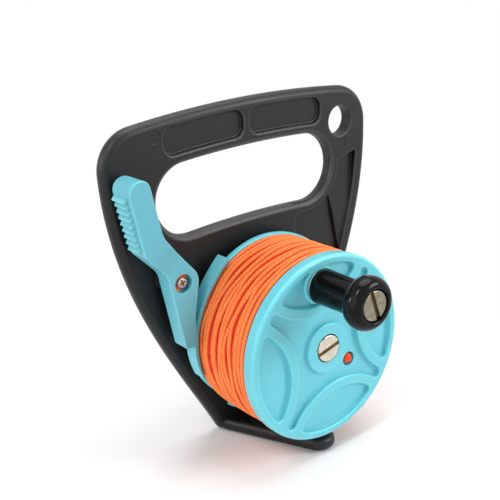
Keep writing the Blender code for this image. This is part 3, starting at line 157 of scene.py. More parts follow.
def mouldedGrainAndPaintedHighlightGroup():
    # moulded plastic: a painted highlight on the marked rounded edges, fine grain and a faint cloudiness of
    # colour and gloss
    finish = {"cloudScale": 45.0, "grainGloss": 0.12}
    group = bpy.data.node_groups.new("mouldedGrainAndPaintedHighlight", "ShaderNodeTree")
    colour, number = "NodeSocketColor", "NodeSocketFloat"
    for name, kind, value in (("Colour", colour, (0.5, 0.5, 0.5, 1)),
                              ("Painted Highlight Colour", colour, (0.7, 0.7, 0.7, 1)), ("Painted Highlight Share", number, 0.5),
                              ("Grain Scale", number, 2500.0), ("Cloud Share", number, 0.1),
                              ("Roughness", number, 0.4)):
        group.interface.new_socket(name=name, in_out="INPUT", socket_type=kind).default_value = value
    for name, kind in (("Colour", colour), ("Roughness", number), ("Height", number)):
        group.interface.new_socket(name=name, in_out="OUTPUT", socket_type=kind)
    into = group.nodes.new("NodeGroupInput").outputs
    out = group.nodes.new("NodeGroupOutput")
    place = objectPlace(group)
    cloud = noiseNode(group, place, finish["cloudScale"], 3.0)
    grain = noiseNode(group, place, into["Grain Scale"])
    # painted highlight: the marked edges are mixed towards the highlight colour
    edge = times(group, paintedLightMask(group), into["Painted Highlight Share"], True)
    toned = colourMix(group, edge, into["Colour"], into["Painted Highlight Colour"])
    cloudShift = times(group, plus(group, cloud, -0.5), into["Cloud Share"])
    bright = addNode(group, "HueSaturation", {"Color": toned, "Value": plus(group, cloudShift, 1.0)})
    grainShift = times(group, plus(group, grain, -0.5), finish["grainGloss"])
    rough = plus(group, into["Roughness"], plus(group, cloudShift, grainShift), True)
    feed(group, out.inputs, {"Colour": bright.outputs["Color"], "Roughness": rough, "Height": grain})
    return group


def mouldedMaterial(name, look):
    plain = {"paintedHighlightShare": 0.3, "grainScale": 1800.0, "cloudShare": 0.05, "roughness": 0.5,
             "specular": 0.5, "bump": 0.05, "bumpHeight": 0.0001}
    look = {**plain, **look}
    made, tree, shader = newMaterial(name)
    finish = addNode(tree, "Group", {
        "Colour": (*look["colour"], 1), "Painted Highlight Colour": (*look["paintedHighlightColour"], 1),
        "Painted Highlight Share": look["paintedHighlightShare"], "Grain Scale": look["grainScale"],
        "Cloud Share": look["cloudShare"], "Roughness": look["roughness"],
    }, node_tree=groups["mouldedGrainAndPaintedHighlight"]).outputs
    feed(tree, shader.inputs, {
        "Base Color": finish["Colour"], "Roughness": finish["Roughness"],
        "Normal": bumpNormal(tree, finish["Height"], look), "Specular IOR Level": look["specular"]})
    if "glow" in look:      # light scattered inside the translucent plastic
        feed(tree, shader.inputs, {
            "Subsurface Weight": look["glow"], "Subsurface Radius": (0.3, 0.9, 1.0),
            "Subsurface Scale": 0.0015})
    return made


def metalMaterial(name, look):
    plain = {"grainScale": 2600.0, "cloudShare": 0.25, "roughness": 0.30, "bump": 0.2, "bumpHeight": 0.0001}
    look = {**plain, **look}
    made, tree, shader = newMaterial(name)
    place = objectPlace(tree)
    cloud = noiseNode(tree, place, look["cloudScale"], 3.0)
    shift = times(tree, plus(tree, cloud, -0.5), look["cloudShare"])
    feed(tree, shader.inputs, {
        "Base Color": colourMix(tree, cloud, (*look["colour"], 1), (*look["darkColour"], 1)),
        "Roughness": plus(tree, shift, look["roughness"], True), "Metallic": 1.0,
        "Normal": bumpNormal(tree, noiseNode(tree, place, look["grainScale"]), look)})
    return made


def lineMaterial(name, look):
    # braided line: u runs along it in diameters, v once round it; the braid's two lays lean
    # against each other, and a fuzz of fine fibres breaks them up
    made, tree, shader = newMaterial(name)
    uv = addNode(tree, "UVMap", uv_map="lineRun").outputs["UV"]
    along, around = addNode(tree, "SeparateXYZ", {"Vector": uv}).outputs[:2]
    place = objectPlace(tree)
    fuzz = noiseNode(tree, place, look["fuzzScale"], 3.0, 0.6)
    lays = []
    for lean, share in look["lays"]:
        lay = plus(tree, times(tree, around, look["strandsRound"]),
                   times(tree, along, lean * look["crossingsPerDiameter"]))
        lay = plus(tree, lay, times(tree, fuzz, look["layFuzz"]))
        lays.append(times(tree, mathNode(tree, "SINE", times(tree, lay, 2 * pi), 0.0), share))
    height = plus(tree, plus(tree, *lays), 0.5)
    cloud = noiseNode(tree, place, look["cloudScale"])
    tone = plus(tree, times(tree, height, look["braidTone"]), times(tree, fuzz, look["fuzzTone"]))
    tone = plus(tree, tone, times(tree, cloud, look["cloudTone"]))
    # painted shade: the marked tone darkens the line in the grooves between turns, on the bed and on the
    # knot in its hole
    tone = mathNode(tree, "SUBTRACT", tone, paintedLightMask(tree), True)
    feed(tree, shader.inputs, {
        "Base Color": colourMix(tree, tone, (*look["darkColour"], 1), (*look["colour"], 1)),
        "Roughness": look["roughness"], "Sheen Weight": look["sheen"], "Sheen Roughness": 0.5,
        "Normal": bumpNormal(tree, plus(tree, height, times(tree, fuzz, 0.5)), look)})
    return made


def seenDirectly(tree):
    # 1 for what the camera sees, straight on or in metal and gloss
    path = addNode(tree, "LightPath").outputs
    bent = mathNode(tree, "MAXIMUM", path["Is Glossy Ray"], path["Is Transmission Ray"])
    return mathNode(tree, "MAXIMUM", path["Is Camera Ray"], bent)


# Camera and light


def addCamera():
    view = {"azimuth": -37.25, "elevation": 19.65, "roll": 3.49, "place": (-0.2213, -0.2876, 0.2103),
            "lens": 63.73, "sensorWidth": 36, "clipStart": 0.01}
    a, e, r = (radians(view[k]) for k in ("azimuth", "elevation", "roll"))
    right = Vector((cos(a), sin(a), 0))
    back = Vector((sin(a) * cos(e), -cos(a) * cos(e), sin(e)))
    up = back.cross(right)
    across = cos(r) * right - sin(r) * up
    upwards = sin(r) * right + cos(r) * up
    data = bpy.data.cameras.new("camera")
    data.sensor_width, data.lens, data.clip_start = view["sensorWidth"], view["lens"], view["clipStart"]
    camera = linkObject("camera", data)
    turn = Matrix((across, upwards, back)).transposed().to_4x4()
    camera.matrix_world = Matrix.Translation(view["place"]) @ turn
    bpy.context.scene.camera = camera


def addLamps():
    # place, width and height in metres, power in watts
    lamps = {
        "keyLamp": ((0.86, -1.08, 0.66), (0.8, 0.8), 13.0),
        "sideLamp": ((-1.25, -0.20, 0.45), (1.3, 1.3), 4.2),
        "topLamp": ((0.30, 0.05, 1.35), (1.3, 1.0), 12.0),
        "upperGlintLamp": ((-0.76, -0.24, 1.12), (0.05, 0.48), 4.0),
        "lowerGlintLamp": ((-1.09, 0.52, 0.48), (0.05, 0.42), 3.0),
    }
    aim = Vector((0, -0.02, 0.07))
    for name, (place, size, power) in lamps.items():
        data = bpy.data.lights.new(name, "AREA")
        data.shape, data.energy = "ELLIPSE", power
        data.size, data.size_y = size
        lamp = linkObject(name, data)
        lamp.location = place
        lamp.rotation_euler = (aim - Vector(place)).to_track_quat("-Z", "Y").to_euler()


def addWorld():
    # a soft even light, and white where the camera sees it
    softStrength = 0.34
    world = bpy.data.worlds.new("studio")
    bpy.context.scene.world = world
    world.use_nodes = True
    tree = world.node_tree
    tree.nodes.clear()
    soft = addNode(tree, "Background", {"Color": (1, 1, 1, 1), "Strength": softStrength})
    white = addNode(tree, "Background", {"Color": (1, 1, 1, 1), "Strength": 1.0})
    mix = addNode(tree, "MixShader", {"Fac": seenDirectly(tree), 1: soft.outputs[0], 2: white.outputs[0]})
    addNode(tree, "OutputWorld", {"Surface": mix.outputs[0]})


def floorMaterial():
    # a pale floor that keeps the shadow and turns into the white backdrop further out
    look = {"bright": 0.92, "cloudScale": 3.0, "cloudShare": 0.02, "roughness": 0.9, "specular": 0.1,
            "whiteStart": 0.03, "whiteEnd": 0.19}
    made, tree, shader = newMaterial("paleFloor")
    place = objectPlace(tree)
    cloud = noiseNode(tree, place, look["cloudScale"])
    feed(tree, shader.inputs, {
        "Base Color": plus(tree, times(tree, cloud, look["cloudShare"]), look["bright"]),
        "Roughness": look["roughness"], "Specular IOR Level": look["specular"]})
    reach = addNode(tree, "VectorMath", {0: place}, operation="LENGTH").outputs["Value"]
    fade = addNode(tree, "MapRange", {"Value": reach, "From Min": look["whiteStart"],
                                      "From Max": look["whiteEnd"]}, interpolation_type="SMOOTHSTEP")
    white = addNode(tree, "Emission", {"Color": (1, 1, 1, 1)})
    mix = addNode(tree, "MixShader", {
        "Fac": times(tree, fade.outputs["Result"], seenDirectly(tree)),
        1: shader.outputs["BSDF"], 2: white.outputs["Emission"]})
    feed(tree, tree.nodes["Material Output"].inputs, {"Surface": mix.outputs[0]})
    return made


def addFloor():
    half, drop = 3.0, 0.0006
    bm = bmesh.new()
    bm.faces.new([bm.verts.new((x * half, y * half, -drop))
                  for x, y in ((-1, -1), (1, -1), (1, 1), (-1, 1))])
    floor = meshObject("floor", bm, floorMaterial())


# Outlines


def arcPoints(centre, radius, startDeg, endDeg, stepDeg=4.0):
    steps = max(1, ceil(abs(endDeg - startDeg) / stepDeg))
    angles = [radians(startDeg + (endDeg - startDeg) * i / steps) for i in range(steps + 1)]
    return [(centre[0] + radius * cos(a), centre[1] + radius * sin(a)) for a in angles]


def circle(centre, radius, segments=64):
    return arcPoints(centre, radius, 0, 360 - 360 / segments, 360 / segments)


def bezierPoints(p0, p1, p2, p3, steps):
    points = []
    for i in range(steps + 1):
        t = i / steps
        shares = ((1 - t) ** 3, 3 * t * (1 - t) ** 2, 3 * t * t * (1 - t), t ** 3)
        points.append(tuple(sum(s * p[k] for s, p in zip(shares, (p0, p1, p2, p3))) for k in (0, 1)))
    return points


def cleaned(points, least=0.02):
    kept = []
    for point in points:
        if not kept or hypot(point[0] - kept[-1][0], point[1] - kept[-1][1]) > least:
            kept.append(point)
    while hypot(kept[0][0] - kept[-1][0], kept[0][1] - kept[-1][1]) <= least:
        kept.pop()
    return kept


def insetLoop(points, distance):
    # an anticlockwise loop moved inwards, or outwards where the distance is negative
    if not distance:
        return list(points)
    sharpest = 0.3      # keeps a sharp corner from running far out
    moved = []
    count = len(points)
    for i in range(count):
        before = Vector(points[i]) - Vector(points[i - 1])
        after = Vector(points[(i + 1) % count]) - Vector(points[i])
        normal = Vector((-before.y, before.x)).normalized()
        inward = (normal + Vector((-after.y, after.x)).normalized()).normalized()
        moved.append(tuple(Vector(points[i]) + inward * distance / max(sharpest, inward.dot(normal))))
    return moved


def roundedLoop(corners, stepDeg=6.0):
    # corners are (x, z, radius)
    points = []
    count = len(corners)
    for i, (x, z, radius) in enumerate(corners):
        corner = Vector((x, z))
        before = Vector(corners[i - 1][:2]) - corner
        after = Vector(corners[(i + 1) % count][:2]) - corner
        halfAngle = before.angle(after) / 2
        reach = min(radius / tan(halfAngle), before.length / 2, after.length / 2)
        radius = reach * tan(halfAngle)
        middle = (before.normalized() + after.normalized()).normalized()
        centre = corner + middle * (radius / sin(halfAngle))
        first = corner + before.normalized() * reach - centre
        last = corner + after.normalized() * reach - centre
        start = degrees(atan2(first.y, first.x))
        turn = (degrees(atan2(last.y, last.x)) - start + 180) % 360 - 180
        points += arcPoints(centre, radius, start, start + turn, stepDeg)
    return cleaned(points)


def resampled(points, spacing):
    # the loop with points at even distances
    loop = [Vector(p) for p in points] + [Vector(points[0])]
    lengths = [0.0]
    for a, b in zip(loop, loop[1:]):
        lengths.append(lengths[-1] + (b - a).length)
    count = max(8, round(lengths[-1] / spacing))
    made = []
    k = 0
    for i in range(count):
        target = lengths[-1] * i / count
        while lengths[k + 1] < target:
            k += 1
        share = (target - lengths[k]) / (lengths[k + 1] - lengths[k])
        made.append(tuple(loop[k].lerp(loop[k + 1], share)))
    return made


def softened(points, spacing=0.5, passes=6):
    # corners eased by averaging neighbours along an even loop
    loop = [Vector(p) for p in resampled(points, spacing)]
    count = len(loop)
    for _ in range(passes):
        loop = [(loop[i - 1] + loop[i] * 2 + loop[(i + 1) % count]) / 4 for i in range(count)]
    return [tuple(p) for p in loop]


def turnedPoints(points, turnDeg):
    c, s = cos(radians(turnDeg)), sin(radians(turnDeg))
    return [(x * c - z * s, x * s + z * c) for x, z in points]


def movedPoints(points, offset):
    return [(x + offset[0], z + offset[1]) for x, z in points]


def hexagon(flats):
    corner = flats / 2 / cos(pi / 6)
    return [(corner * cos(pi / 3 * i), corner * sin(pi / 3 * i)) for i in range(6)]


# Solids


def addRing(bm, points, y, tone=0.0):
    # each vertex keeps a painted light tone: a painted highlight on the plastic, a painted shade on the
    # line
    layer = bm.verts.layers.float.get("paintedLight") or bm.verts.layers.float.new("paintedLight")
    ring = []
    for x, z in points:
        vert = bm.verts.new((x, y, z))
        vert[layer] = tone
        ring.append(vert)
    return ring


def joinRings(bm, rings):
    for a, b in zip(rings, rings[1:]):
        for i in range(len(a)):
            following = (i + 1) % len(a)
            bm.faces.new((a[i], a[following], b[following], b[i]))


def disc(centre, radius, segments, **feature):
    return {"outline": circle(centre, radius, segments), **feature}


def roundLevels(edge, steps, tone=1.0):
    # a rounded edge as (inset, depth, tone), from the flat face to the wall; the tone is a painted
    # highlight, strongest halfway round
    if not edge:
        return [(0.0, 0.0, 0.0)]
    turns = [pi / 2 * i / steps for i in range(steps + 1)]
    return [(edge * (1 - sin(a)), edge * (1 - cos(a)), tone * sin(2 * a)) for a in turns]


def featureRings(bm, feature, y, into):
    # a pocket has a positive depth and a boss a negative one; near rounds its edge at this level
    # and far its edge at the other level
    outline, depth = feature["outline"], feature.get("depth", 1.0)
    steps, draft = feature.get("steps", 4), feature.get("draft", 0.0)
    pocket = depth > 0
    way = into if pocket else -into
    # the convex round, a pocket's lip or a boss's top edge, takes the painted highlight tone
    rings = [addRing(bm, insetLoop(outline, -inset), y + way * down, tone if pocket else 0.0)
             for inset, down, tone in roundLevels(feature.get("near", 0.5), steps)]
    if feature.get("through"):
        return rings
    for inset, down, tone in reversed(roundLevels(feature.get("far", 0.3), steps)):
        rings.append(addRing(bm, insetLoop(outline, draft + inset), y + way * (abs(depth) - down),
                             0.0 if pocket else tone))
    return rings


def fillLevel(bm, rings):
    edges = []
    for ring in rings:
        edges += [bm.edges.get((ring[i - 1], ring[i])) or bm.edges.new((ring[i - 1], ring[i]))
                  for i in range(len(ring))]
    bmesh.ops.triangle_fill(bm, edges=edges, use_beauty=True)


def carve(bm, outerRing, y, into, features):
    # a flat level with pockets, bosses and holes, each with features of its own inside
    openRings = {}
    firstRings = [outerRing]
    for feature in features:
        rings = featureRings(bm, feature, y, into)
        joinRings(bm, rings)
        firstRings.append(rings[0])
        if feature.get("through"):
            openRings[feature["through"]] = rings[-1]
        else:
            inside = carve(bm, rings[-1], y + into * feature["depth"], into, feature.get("inside", []))
            openRings.update(inside)
    fillLevel(bm, firstRings)
    return openRings


def slab(outline, front, back, edge, frontFeatures=(), backFeatures=(), edgeSteps=6, paintedLight=1.0):
    bm = bmesh.new()
    levels = roundLevels(edge, edgeSteps, paintedLight)
    rings = [addRing(bm, insetLoop(outline, inset), front + down, tone) for inset, down, tone in levels]
    rings += [addRing(bm, insetLoop(outline, inset), back - down, tone)
              for inset, down, tone in reversed(levels)]
    joinRings(bm, rings)
    frontOpen = carve(bm, rings[0], front, 1, frontFeatures)
    backOpen = carve(bm, rings[-1], back, -1, backFeatures)
    for name, ring in frontOpen.items():
        joinRings(bm, [ring, backOpen[name]])
    return bm


def turned(profile, segments=96, closed=True):
    # (radius, y) or (radius, y, tone) spun about the Y axis; an open profile starts and ends on it
    bm = bmesh.new()
    rings = [addRing(bm, circle((0, 0), radius, segments) if radius else [(0, 0)], y, *tone)
             for radius, y, *tone in profile]
    for a, b in zip(rings, rings[1:] + rings[:1] if closed else rings[1:]):
        if len(a) == len(b):
            joinRings(bm, [a, b])
            continue
        (tip,), ring = (a, b) if len(a) == 1 else (b, a)
        for i in range(len(ring)):
            bm.faces.new((tip, ring[i - 1], ring[i]))
    return bm


def toMetres(bm, offset=(0, 0, 0)):
    bmesh.ops.recalc_face_normals(bm, faces=bm.faces)
    bmesh.ops.translate(bm, verts=bm.verts, vec=offset)
    bmesh.ops.scale(bm, verts=bm.verts, vec=(mm, mm, mm))


def shade(piece, sharpDeg=38.0, weighted=True):
    piece.data.shade_smooth()
    piece.data.set_sharp_from_angle(angle=radians(sharpDeg))
    if weighted:
        normals = piece.modifiers.new("evenShading", "WEIGHTED_NORMAL")
        normals.keep_sharp = True
        normals.weight = 100


def addPiece(name, bm, body, material, replaces, offset=(0, 0, 0), weighted=True):
    toMetres(bm, offset)
    piece = meshObject(name, bm, material)
    shade(piece, weighted=weighted)
    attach(piece, body)
    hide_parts(*replaces)
    print("made", name, len(piece.data.polygons), "faces")
    return piece


def combine(piece, operation, bm, offset=(0, 0, 0), material=None, bevel=0.0):
    # the shape is fused to the piece or cut from it for good, and the result is shaded again
    toMetres(bm, offset)
    tool = meshObject("tool", bm, material or piece.data.materials[0])
    piece.modifiers.clear()
    join = piece.modifiers.new("join", "BOOLEAN")
    join.operation, join.solver, join.material_mode = operation, "EXACT", "TRANSFER"
    join.object = tool
    if bevel:
        eased = piece.modifiers.new("easedEdges", "BEVEL")
        eased.width = bevel * mm
        eased.segments = 2
        eased.limit_method, eased.angle_limit = "ANGLE", radians(50)
    bpy.context.view_layer.update()
    evaluated = piece.evaluated_get(bpy.context.evaluated_depsgraph_get())
    mesh = bpy.data.meshes.new_from_object(evaluated)
    piece.modifiers.clear()
    piece.data = mesh
    shade(piece)
    bpy.data.objects.remove(tool)


# Frame


def bandLoop(centreZ, radius, halfHeight, start, end, corner):
    # a bent bar along an arc about (0, centreZ), between two places measured along X
    low, high = degrees(start / radius), degrees(end / radius)
    cornerTurn = degrees(corner / radius)
    inner = halfHeight - corner
    points = []
    for turn, side, first in ((high - cornerTurn, 1, 0), (low + cornerTurn, 1, 90),
                              (low + cornerTurn, -1, 180), (high - cornerTurn, -1, 270)):
        around = 90 - turn
        reach = radius + side * inner
        centre = (reach * cos(radians(around)), centreZ + reach * sin(radians(around)))
        points += arcPoints(centre, corner, around - 90 + first, around + first, 7.5)
    filled = []
    for i, point in enumerate(points):
        filled.append(point)
        following = points[(i + 1) % len(points)]
        if hypot(following[0] - point[0], following[1] - point[1]) > corner:
            reach = hypot(point[0], point[1] - centreZ)
            angles = [degrees(atan2(p[1] - centreZ, p[0])) for p in (point, following)]
            filled += arcPoints((0, centreZ), reach, angles[0], angles[1], 0.5)[1:-1]
    return cleaned(filled)


plate = {
    "front": 0.0, "back": 7.0, "edge": 3.2, "height": 147.0, "halfWidth": 69.5,
    "topArc": 500.0, "topCorner": 17.0, "baseHalf": 23.8, "baseCorner": 4.5,
    "sideLean": 26.3, "lowerPull": 32.0, "upperPull": 52.5,
    "gripDrop": 35.15, "gripHalf": 46.65, "gripRadius": 15.25, "gripFlat": 0.01, "gripEdge": 2.6,
    "lanyardRadius": 6.76, "lanyardRise": 1.5, "lanyardShift": 0.5, "lanyardEdge": 1.0,
    "pillDrop": 10.0, "pillHeight": 11.5, "pillStart": 1.6, "pillEnd": 41.3, "pillCorner": 4.5,
    "pillDepth": 2.2, "recessLip": 1.0, "recessRoot": 0.6,
    "sideRim": 6.2, "gripRim": 4.75, "webDepth": 3.0, "webLeft": 24.0, "webBottom": 38.0,
    "webCorner": 4.0, "limbTop": 112.2, "limbTopDrop": 1.2, "limbTopRise": 1.3,
    "limbTopDepth": 3.1, "limbLowDepth": 1.5, "limbLip": 1.0, "limbRoot": 0.4,
    "limbStep": 87.0, "limbFoot": 67.0, "limbEdgeTop": 45.6, "limbEdgeFoot": 50.9, "stepHalfWidth": 0.45,
    "markRadius": 2.6, "markDepth": 0.22, "marks": ((-45.1, 138.5), (53.7, 118.1)),
    "cupRadius": 5.4, "cupRoom": 4.7, "cupRise": 3.36, "postRadius": 3.2, "postRise": 8.96,
    "smallEdge": 0.2, "tinyEdge": 0.1,
    "pivotBore": 1.8, "pivotBoreDepth": 9.5,
    "bossRadius": 12.0, "bossRise": 4.0, "axleBore": 3.3, "nutFlats": 10.6, "nutDepth": 5.3,
}


def topCornerCentre():
    centreZ = plate["height"] - plate["topArc"]
    across = plate["halfWidth"] - plate["topCorner"]
    return across, centreZ + sqrt((plate["topArc"] - plate["topCorner"]) ** 2 - across ** 2)


def frameSide(steps=40):
    lean = radians(plate["sideLean"])
    along = Vector((sin(lean), cos(lean)))
    reach = plate["baseCorner"] * tan((pi / 2 - lean) / 2)
    start = Vector((plate["baseHalf"], 0)) + along * reach
    end = Vector((plate["halfWidth"], topCornerCentre()[1]))
    return bezierPoints(start, start + along * plate["lowerPull"],
                        end - Vector((0, plate["upperPull"])), end, steps)


def frameLoop():
    lean = plate["sideLean"]
    reach = plate["baseCorner"] * tan(radians(90 - lean) / 2)
    arcCentre = (0, plate["height"] - plate["topArc"])
    corner = topCornerCentre()
    meet = degrees(atan2(corner[1] - arcCentre[1], corner[0]))
    half = arcPoints((plate["baseHalf"] - reach, plate["baseCorner"]), plate["baseCorner"], -90, -lean, 8)
    half += frameSide()
    half += arcPoints(corner, plate["topCorner"], 0, meet, 4)
    half += arcPoints(arcCentre, plate["topArc"], meet, 90, 0.5)
    return cleaned(half + [(-x, z) for x, z in reversed(half)])


def gripEndCentre():
    radius = plate["topArc"] - plate["gripDrop"]
    turn = (plate["gripHalf"] - plate["gripRadius"]) / radius
    return radius * sin(turn), plate["height"] - plate["topArc"] + radius * cos(turn)


def sideLand(height):
    curve = insetLoop(frameSide() + [(0, plate["height"]), (0, 0)], plate["sideRim"])[:-2]
    for low, high in zip(curve, curve[1:]):
        if low[1] <= height <= high[1]:
            return low[0] + (high[0] - low[0]) * (height - low[1]) / (high[1] - low[1])
    return curve[-1][0]


def limbRecessLoop():
    # the web recess under the grip hole and the recess up the right limb, as one outline
    centre = gripEndCentre()
    rim = plate["gripRadius"] + plate["gripRim"]
    left, low, corner = plate["webLeft"], plate["webBottom"], plate["webCorner"]
    top = plate["limbTop"]
    webTop = centre[1] - rim
    rise = top - plate["limbTopDrop"] - centre[1]
    topTurn = degrees(atan2(rise, sqrt(rim ** 2 - rise ** 2)))
    points = [(left + corner, low)]
    heights = [low + (top + plate["limbTopRise"] - low) * i / 40 for i in range(41)]
    points += [(sideLand(z), z) for z in heights]
    points += arcPoints(centre, rim, topTurn, -90, 3.0)
    points += arcPoints((left + corner, webTop - corner), corner, 90, 180, 10)
    points += arcPoints((left + corner, low + corner), corner, 180, 270, 10)
    return softened(cleaned(points), spacing=0.7, passes=3)


def smoothStep(share):
    share = min(1.0, max(0.0, share))
    return share * share * (3 - 2 * share)


def limbEdge():
    # the foot of the slanting edge between the recess's two floors, and the way across it
    centre = gripEndCentre()
    rim = plate["gripRadius"] + plate["gripRim"]
    top = centre[1] - sqrt(rim ** 2 - (plate["limbEdgeTop"] - centre[0]) ** 2)
    along = Vector((plate["limbEdgeTop"] - plate["limbEdgeFoot"], top - plate["limbFoot"]))
    return Vector((plate["limbEdgeFoot"], plate["limbFoot"])), Vector((along.y, -along.x)).normalized()


def limbDepth(x, z):
    foot, across = limbEdge()
    slope = (plate["limbTopDepth"] - plate["limbLowDepth"]) / (plate["limbTop"] - plate["limbStep"])
    limb = plate["limbLowDepth"] + slope * max(0.0, z - plate["limbStep"])
    side = (Vector((x, z)) - foot).dot(across)
    share = smoothStep((side + plate["stepHalfWidth"]) / (2 * plate["stepHalfWidth"]))
    return plate["webDepth"] + (limb - plate["webDepth"]) * share


def buildFrame(material):
    arcZ = plate["height"] - plate["topArc"]
    corner = topCornerCentre()
    grip = bandLoop(arcZ, plate["topArc"] - plate["gripDrop"], plate["gripRadius"], -plate["gripHalf"],
                    plate["gripHalf"], plate["gripRadius"] - plate["gripFlat"])
    lanyard = (corner[0] + plate["lanyardShift"], corner[1] + plate["lanyardRise"])
    bothSides = [{"outline": grip, "near": plate["gripEdge"], "through": "grip", "steps": 6},
                 disc(lanyard, plate["lanyardRadius"], 56, near=plate["lanyardEdge"], through="lanyard")]
    for start, end in ((-plate["pillEnd"], -plate["pillStart"]), (plate["pillStart"], plate["pillEnd"])):
        loop = bandLoop(arcZ, plate["topArc"] - plate["pillDrop"], plate["pillHeight"] / 2, start, end,
                        plate["pillCorner"])
        bothSides.append({"outline": loop, "depth": plate["pillDepth"], "near": plate["recessLip"],
                          "far": plate["recessRoot"], "draft": 0.1})
    small, tiny = plate["smallEdge"], plate["tinyEdge"]
    marks = [disc(place, plate["markRadius"], 32, depth=plate["markDepth"], near=tiny, far=tiny, steps=2)
             for place in plate["marks"]]
    limb = {"outline": limbRecessLoop(), "depth": plate["limbLowDepth"], "near": plate["limbLip"],
            "far": plate["limbRoot"], "draft": 0.1}
    pivot = places["leverAxis"]
    bore = disc(pivot, plate["pivotBore"], 32, depth=plate["pivotBoreDepth"], near=tiny, far=0.0)
    post = disc(pivot, plate["postRadius"], 40, depth=-plate["postRise"], near=small, far=small,
                inside=[bore])
    room = disc(pivot, plate["cupRoom"], 56, depth=plate["cupRise"], near=0.15, far=small, inside=[post])
    cup = disc(pivot, plate["cupRadius"], 56, depth=-plate["cupRise"], near=0.25, far=small,
               inside=[room])
    axle = places["spoolAxis"]
    boss = disc(axle, plate["bossRadius"], 72, depth=-plate["bossRise"], near=0.6, far=0.4, inside=[
        disc(axle, plate["axleBore"], 40, near=small, through="axle")])
    nut = {"outline": movedPoints(resampled(hexagon(plate["nutFlats"]), 1.0), axle),
           "depth": plate["nutDepth"], "near": 0.3, "far": small,
           "inside": [disc(axle, plate["axleBore"], 40, near=0.0, through="axle")]}
    bm = slab(frameLoop(), plate["front"], plate["back"], plate["edge"],
              bothSides + marks + [limb, cup, boss], bothSides + [nut], edgeSteps=8, paintedLight=0.0)
    shapeLimbFloor(bm)
    piece = addPiece("handFrame", bm, "handle", material, ["frame"])
    fuseFoot(piece)


def shapeLimbFloor(bm):
    # the slanting edge between the two floors, and the limb floor's slope
    floor, slack = plate["limbLowDepth"], 0.01
    (lowX, highX), (lowZ, highZ) = ((min(c) - slack, max(c) + slack) for c in zip(*limbRecessLoop()))
    lowY = floor - plate["limbRoot"] - slack / 10

    def inRecess(vert):
        x, y, z = vert.co
        return lowX < x < highX and lowZ < z < highZ and lowY < y < floor + slack

    foot, across = limbEdge()
    cuts = [(foot + across * plate["stepHalfWidth"] * k, across) for k in (-1, -0.6, -0.2, 0.2, 0.6, 1)]
    cuts.append((Vector((0, plate["limbStep"])), Vector((0, 1))))
    for place, normal in cuts:
        faces = [f for f in bm.faces if all(inRecess(v) for v in f.verts)]
        edges = list({e for f in faces for e in f.edges})
        verts = list({v for f in faces for v in f.verts})
        bmesh.ops.bisect_plane(bm, geom=verts + edges + faces, plane_co=(place.x, 0, place.y),
                               plane_no=(normal.x, 0, normal.y))
    for vert in bm.verts:
        if inRecess(vert):
            vert.co.y += limbDepth(vert.co.x, vert.co.z) - floor


def fuseFoot(piece):
    foot = {"thick": 6.0, "edge": 2.5, "reach": 44.2, "tip": 7.0, "root": 3.5, "halfWidth": 23.4,
            "guideRadius": 4.0, "guideReach": 23.5, "guideEdge": 0.8}
    tip = Vector((0, foot["tip"] - foot["reach"]))
    away = Vector((foot["halfWidth"], 0)) - tip
    touch = degrees(atan2(away.y, away.x) - acos(foot["tip"] / away.length))
    half = arcPoints(tip, foot["tip"], -90, touch, 6)
    half += [(foot["halfWidth"], 0), (foot["halfWidth"], foot["root"])]
    loop = cleaned(half + [(-x, y) for x, y in reversed(half)])
    guide = disc((0, -foot["guideReach"]), foot["guideRadius"], 48, near=foot["guideEdge"], through="guide")
    bm = slab(loop, 0.0, foot["thick"], foot["edge"], [guide], [guide])
    for vert in bm.verts:
        vert.co = vert.co.xzy
    combine(piece, "UNION", bm)


# Spool


face = {
    "radius": 40.0, "edge": 1.7, "rimInner": 36.5, "arcOffset": 48.5, "lensArc": 27.7,
    "lensCorner": 2.2, "starArc": 32.0, "recess": 2.2, "turn": 7.5, "count": 4,
    "lip": 0.7, "root": 0.45, "draft": 0.25, "ringRadius": 11.0, "ringRise": 1.9, "ringRoot": 0.6,
    "sinkRadius": 6.15, "sinkFloor": -43.0, "bossRadius": 8.0, "bore": 4.8,
    "lineHole": (13.0, -10.0), "lineHoleRadius": 3.1, "lineHoleDepth": 3.6,
    "spigotRadius": 15.2, "spigotRoom": 13.4, "spigotRise": 4.0,
    "knobBore": 2.8, "nutFlats": 8.6, "nutDepth": 3.6,
}


def lensLoop(turnDeg):
    rim = face["rimInner"] - face["lensCorner"]
    bow = face["lensArc"] - face["lensCorner"]
    offset = face["arcOffset"]
    along = (rim ** 2 - bow ** 2 + offset ** 2) / (2 * offset)
    across = sqrt(rim ** 2 - along ** 2)
    rimTurn = degrees(atan2(across, along))
    bowTurn = degrees(atan2(across, along - offset))
    points = arcPoints((0, 0), face["rimInner"], -rimTurn, rimTurn)
    points += arcPoints((along, across), face["lensCorner"], rimTurn, bowTurn, 10)
    points += arcPoints((offset, 0), face["lensArc"], bowTurn, 360 - bowTurn)
    points += arcPoints((along, -across), face["lensCorner"], 360 - bowTurn, 360 - rimTurn, 10)
    return turnedPoints(cleaned(points), turnDeg)


def lensPartsRoundKnob(turnDeg):
    # the lens pocket that holds the knob's boss is left as two corners beside it
    loop = resampled(lensLoop(turnDeg), spacing=0.3)
    knob = Vector(knobFromSpool())
    outside = [(Vector(p) - knob).length > face["bossRadius"] for p in loop]
    first = outside.index(False)
    marked = list(zip(outside, loop))
    parts = []
    for isOutside, group in groupby(marked[first:] + marked[:first], key=lambda pair: pair[0]):
        if not isOutside:
            continue
        run = [point for _, point in group]
        start = degrees(atan2(run[-1][1] - knob.y, run[-1][0] - knob.x))
        end = degrees(atan2(run[0][1] - knob.y, run[0][0] - knob.x))
        sweep = (end - start) % 360 - 360
        arc = arcPoints(knob, face["bossRadius"], start, start + sweep, 3)
        parts.append(softened(cleaned(run + arc), spacing=0.35, passes=8))
    return [p for p in parts if len(p) > 20]


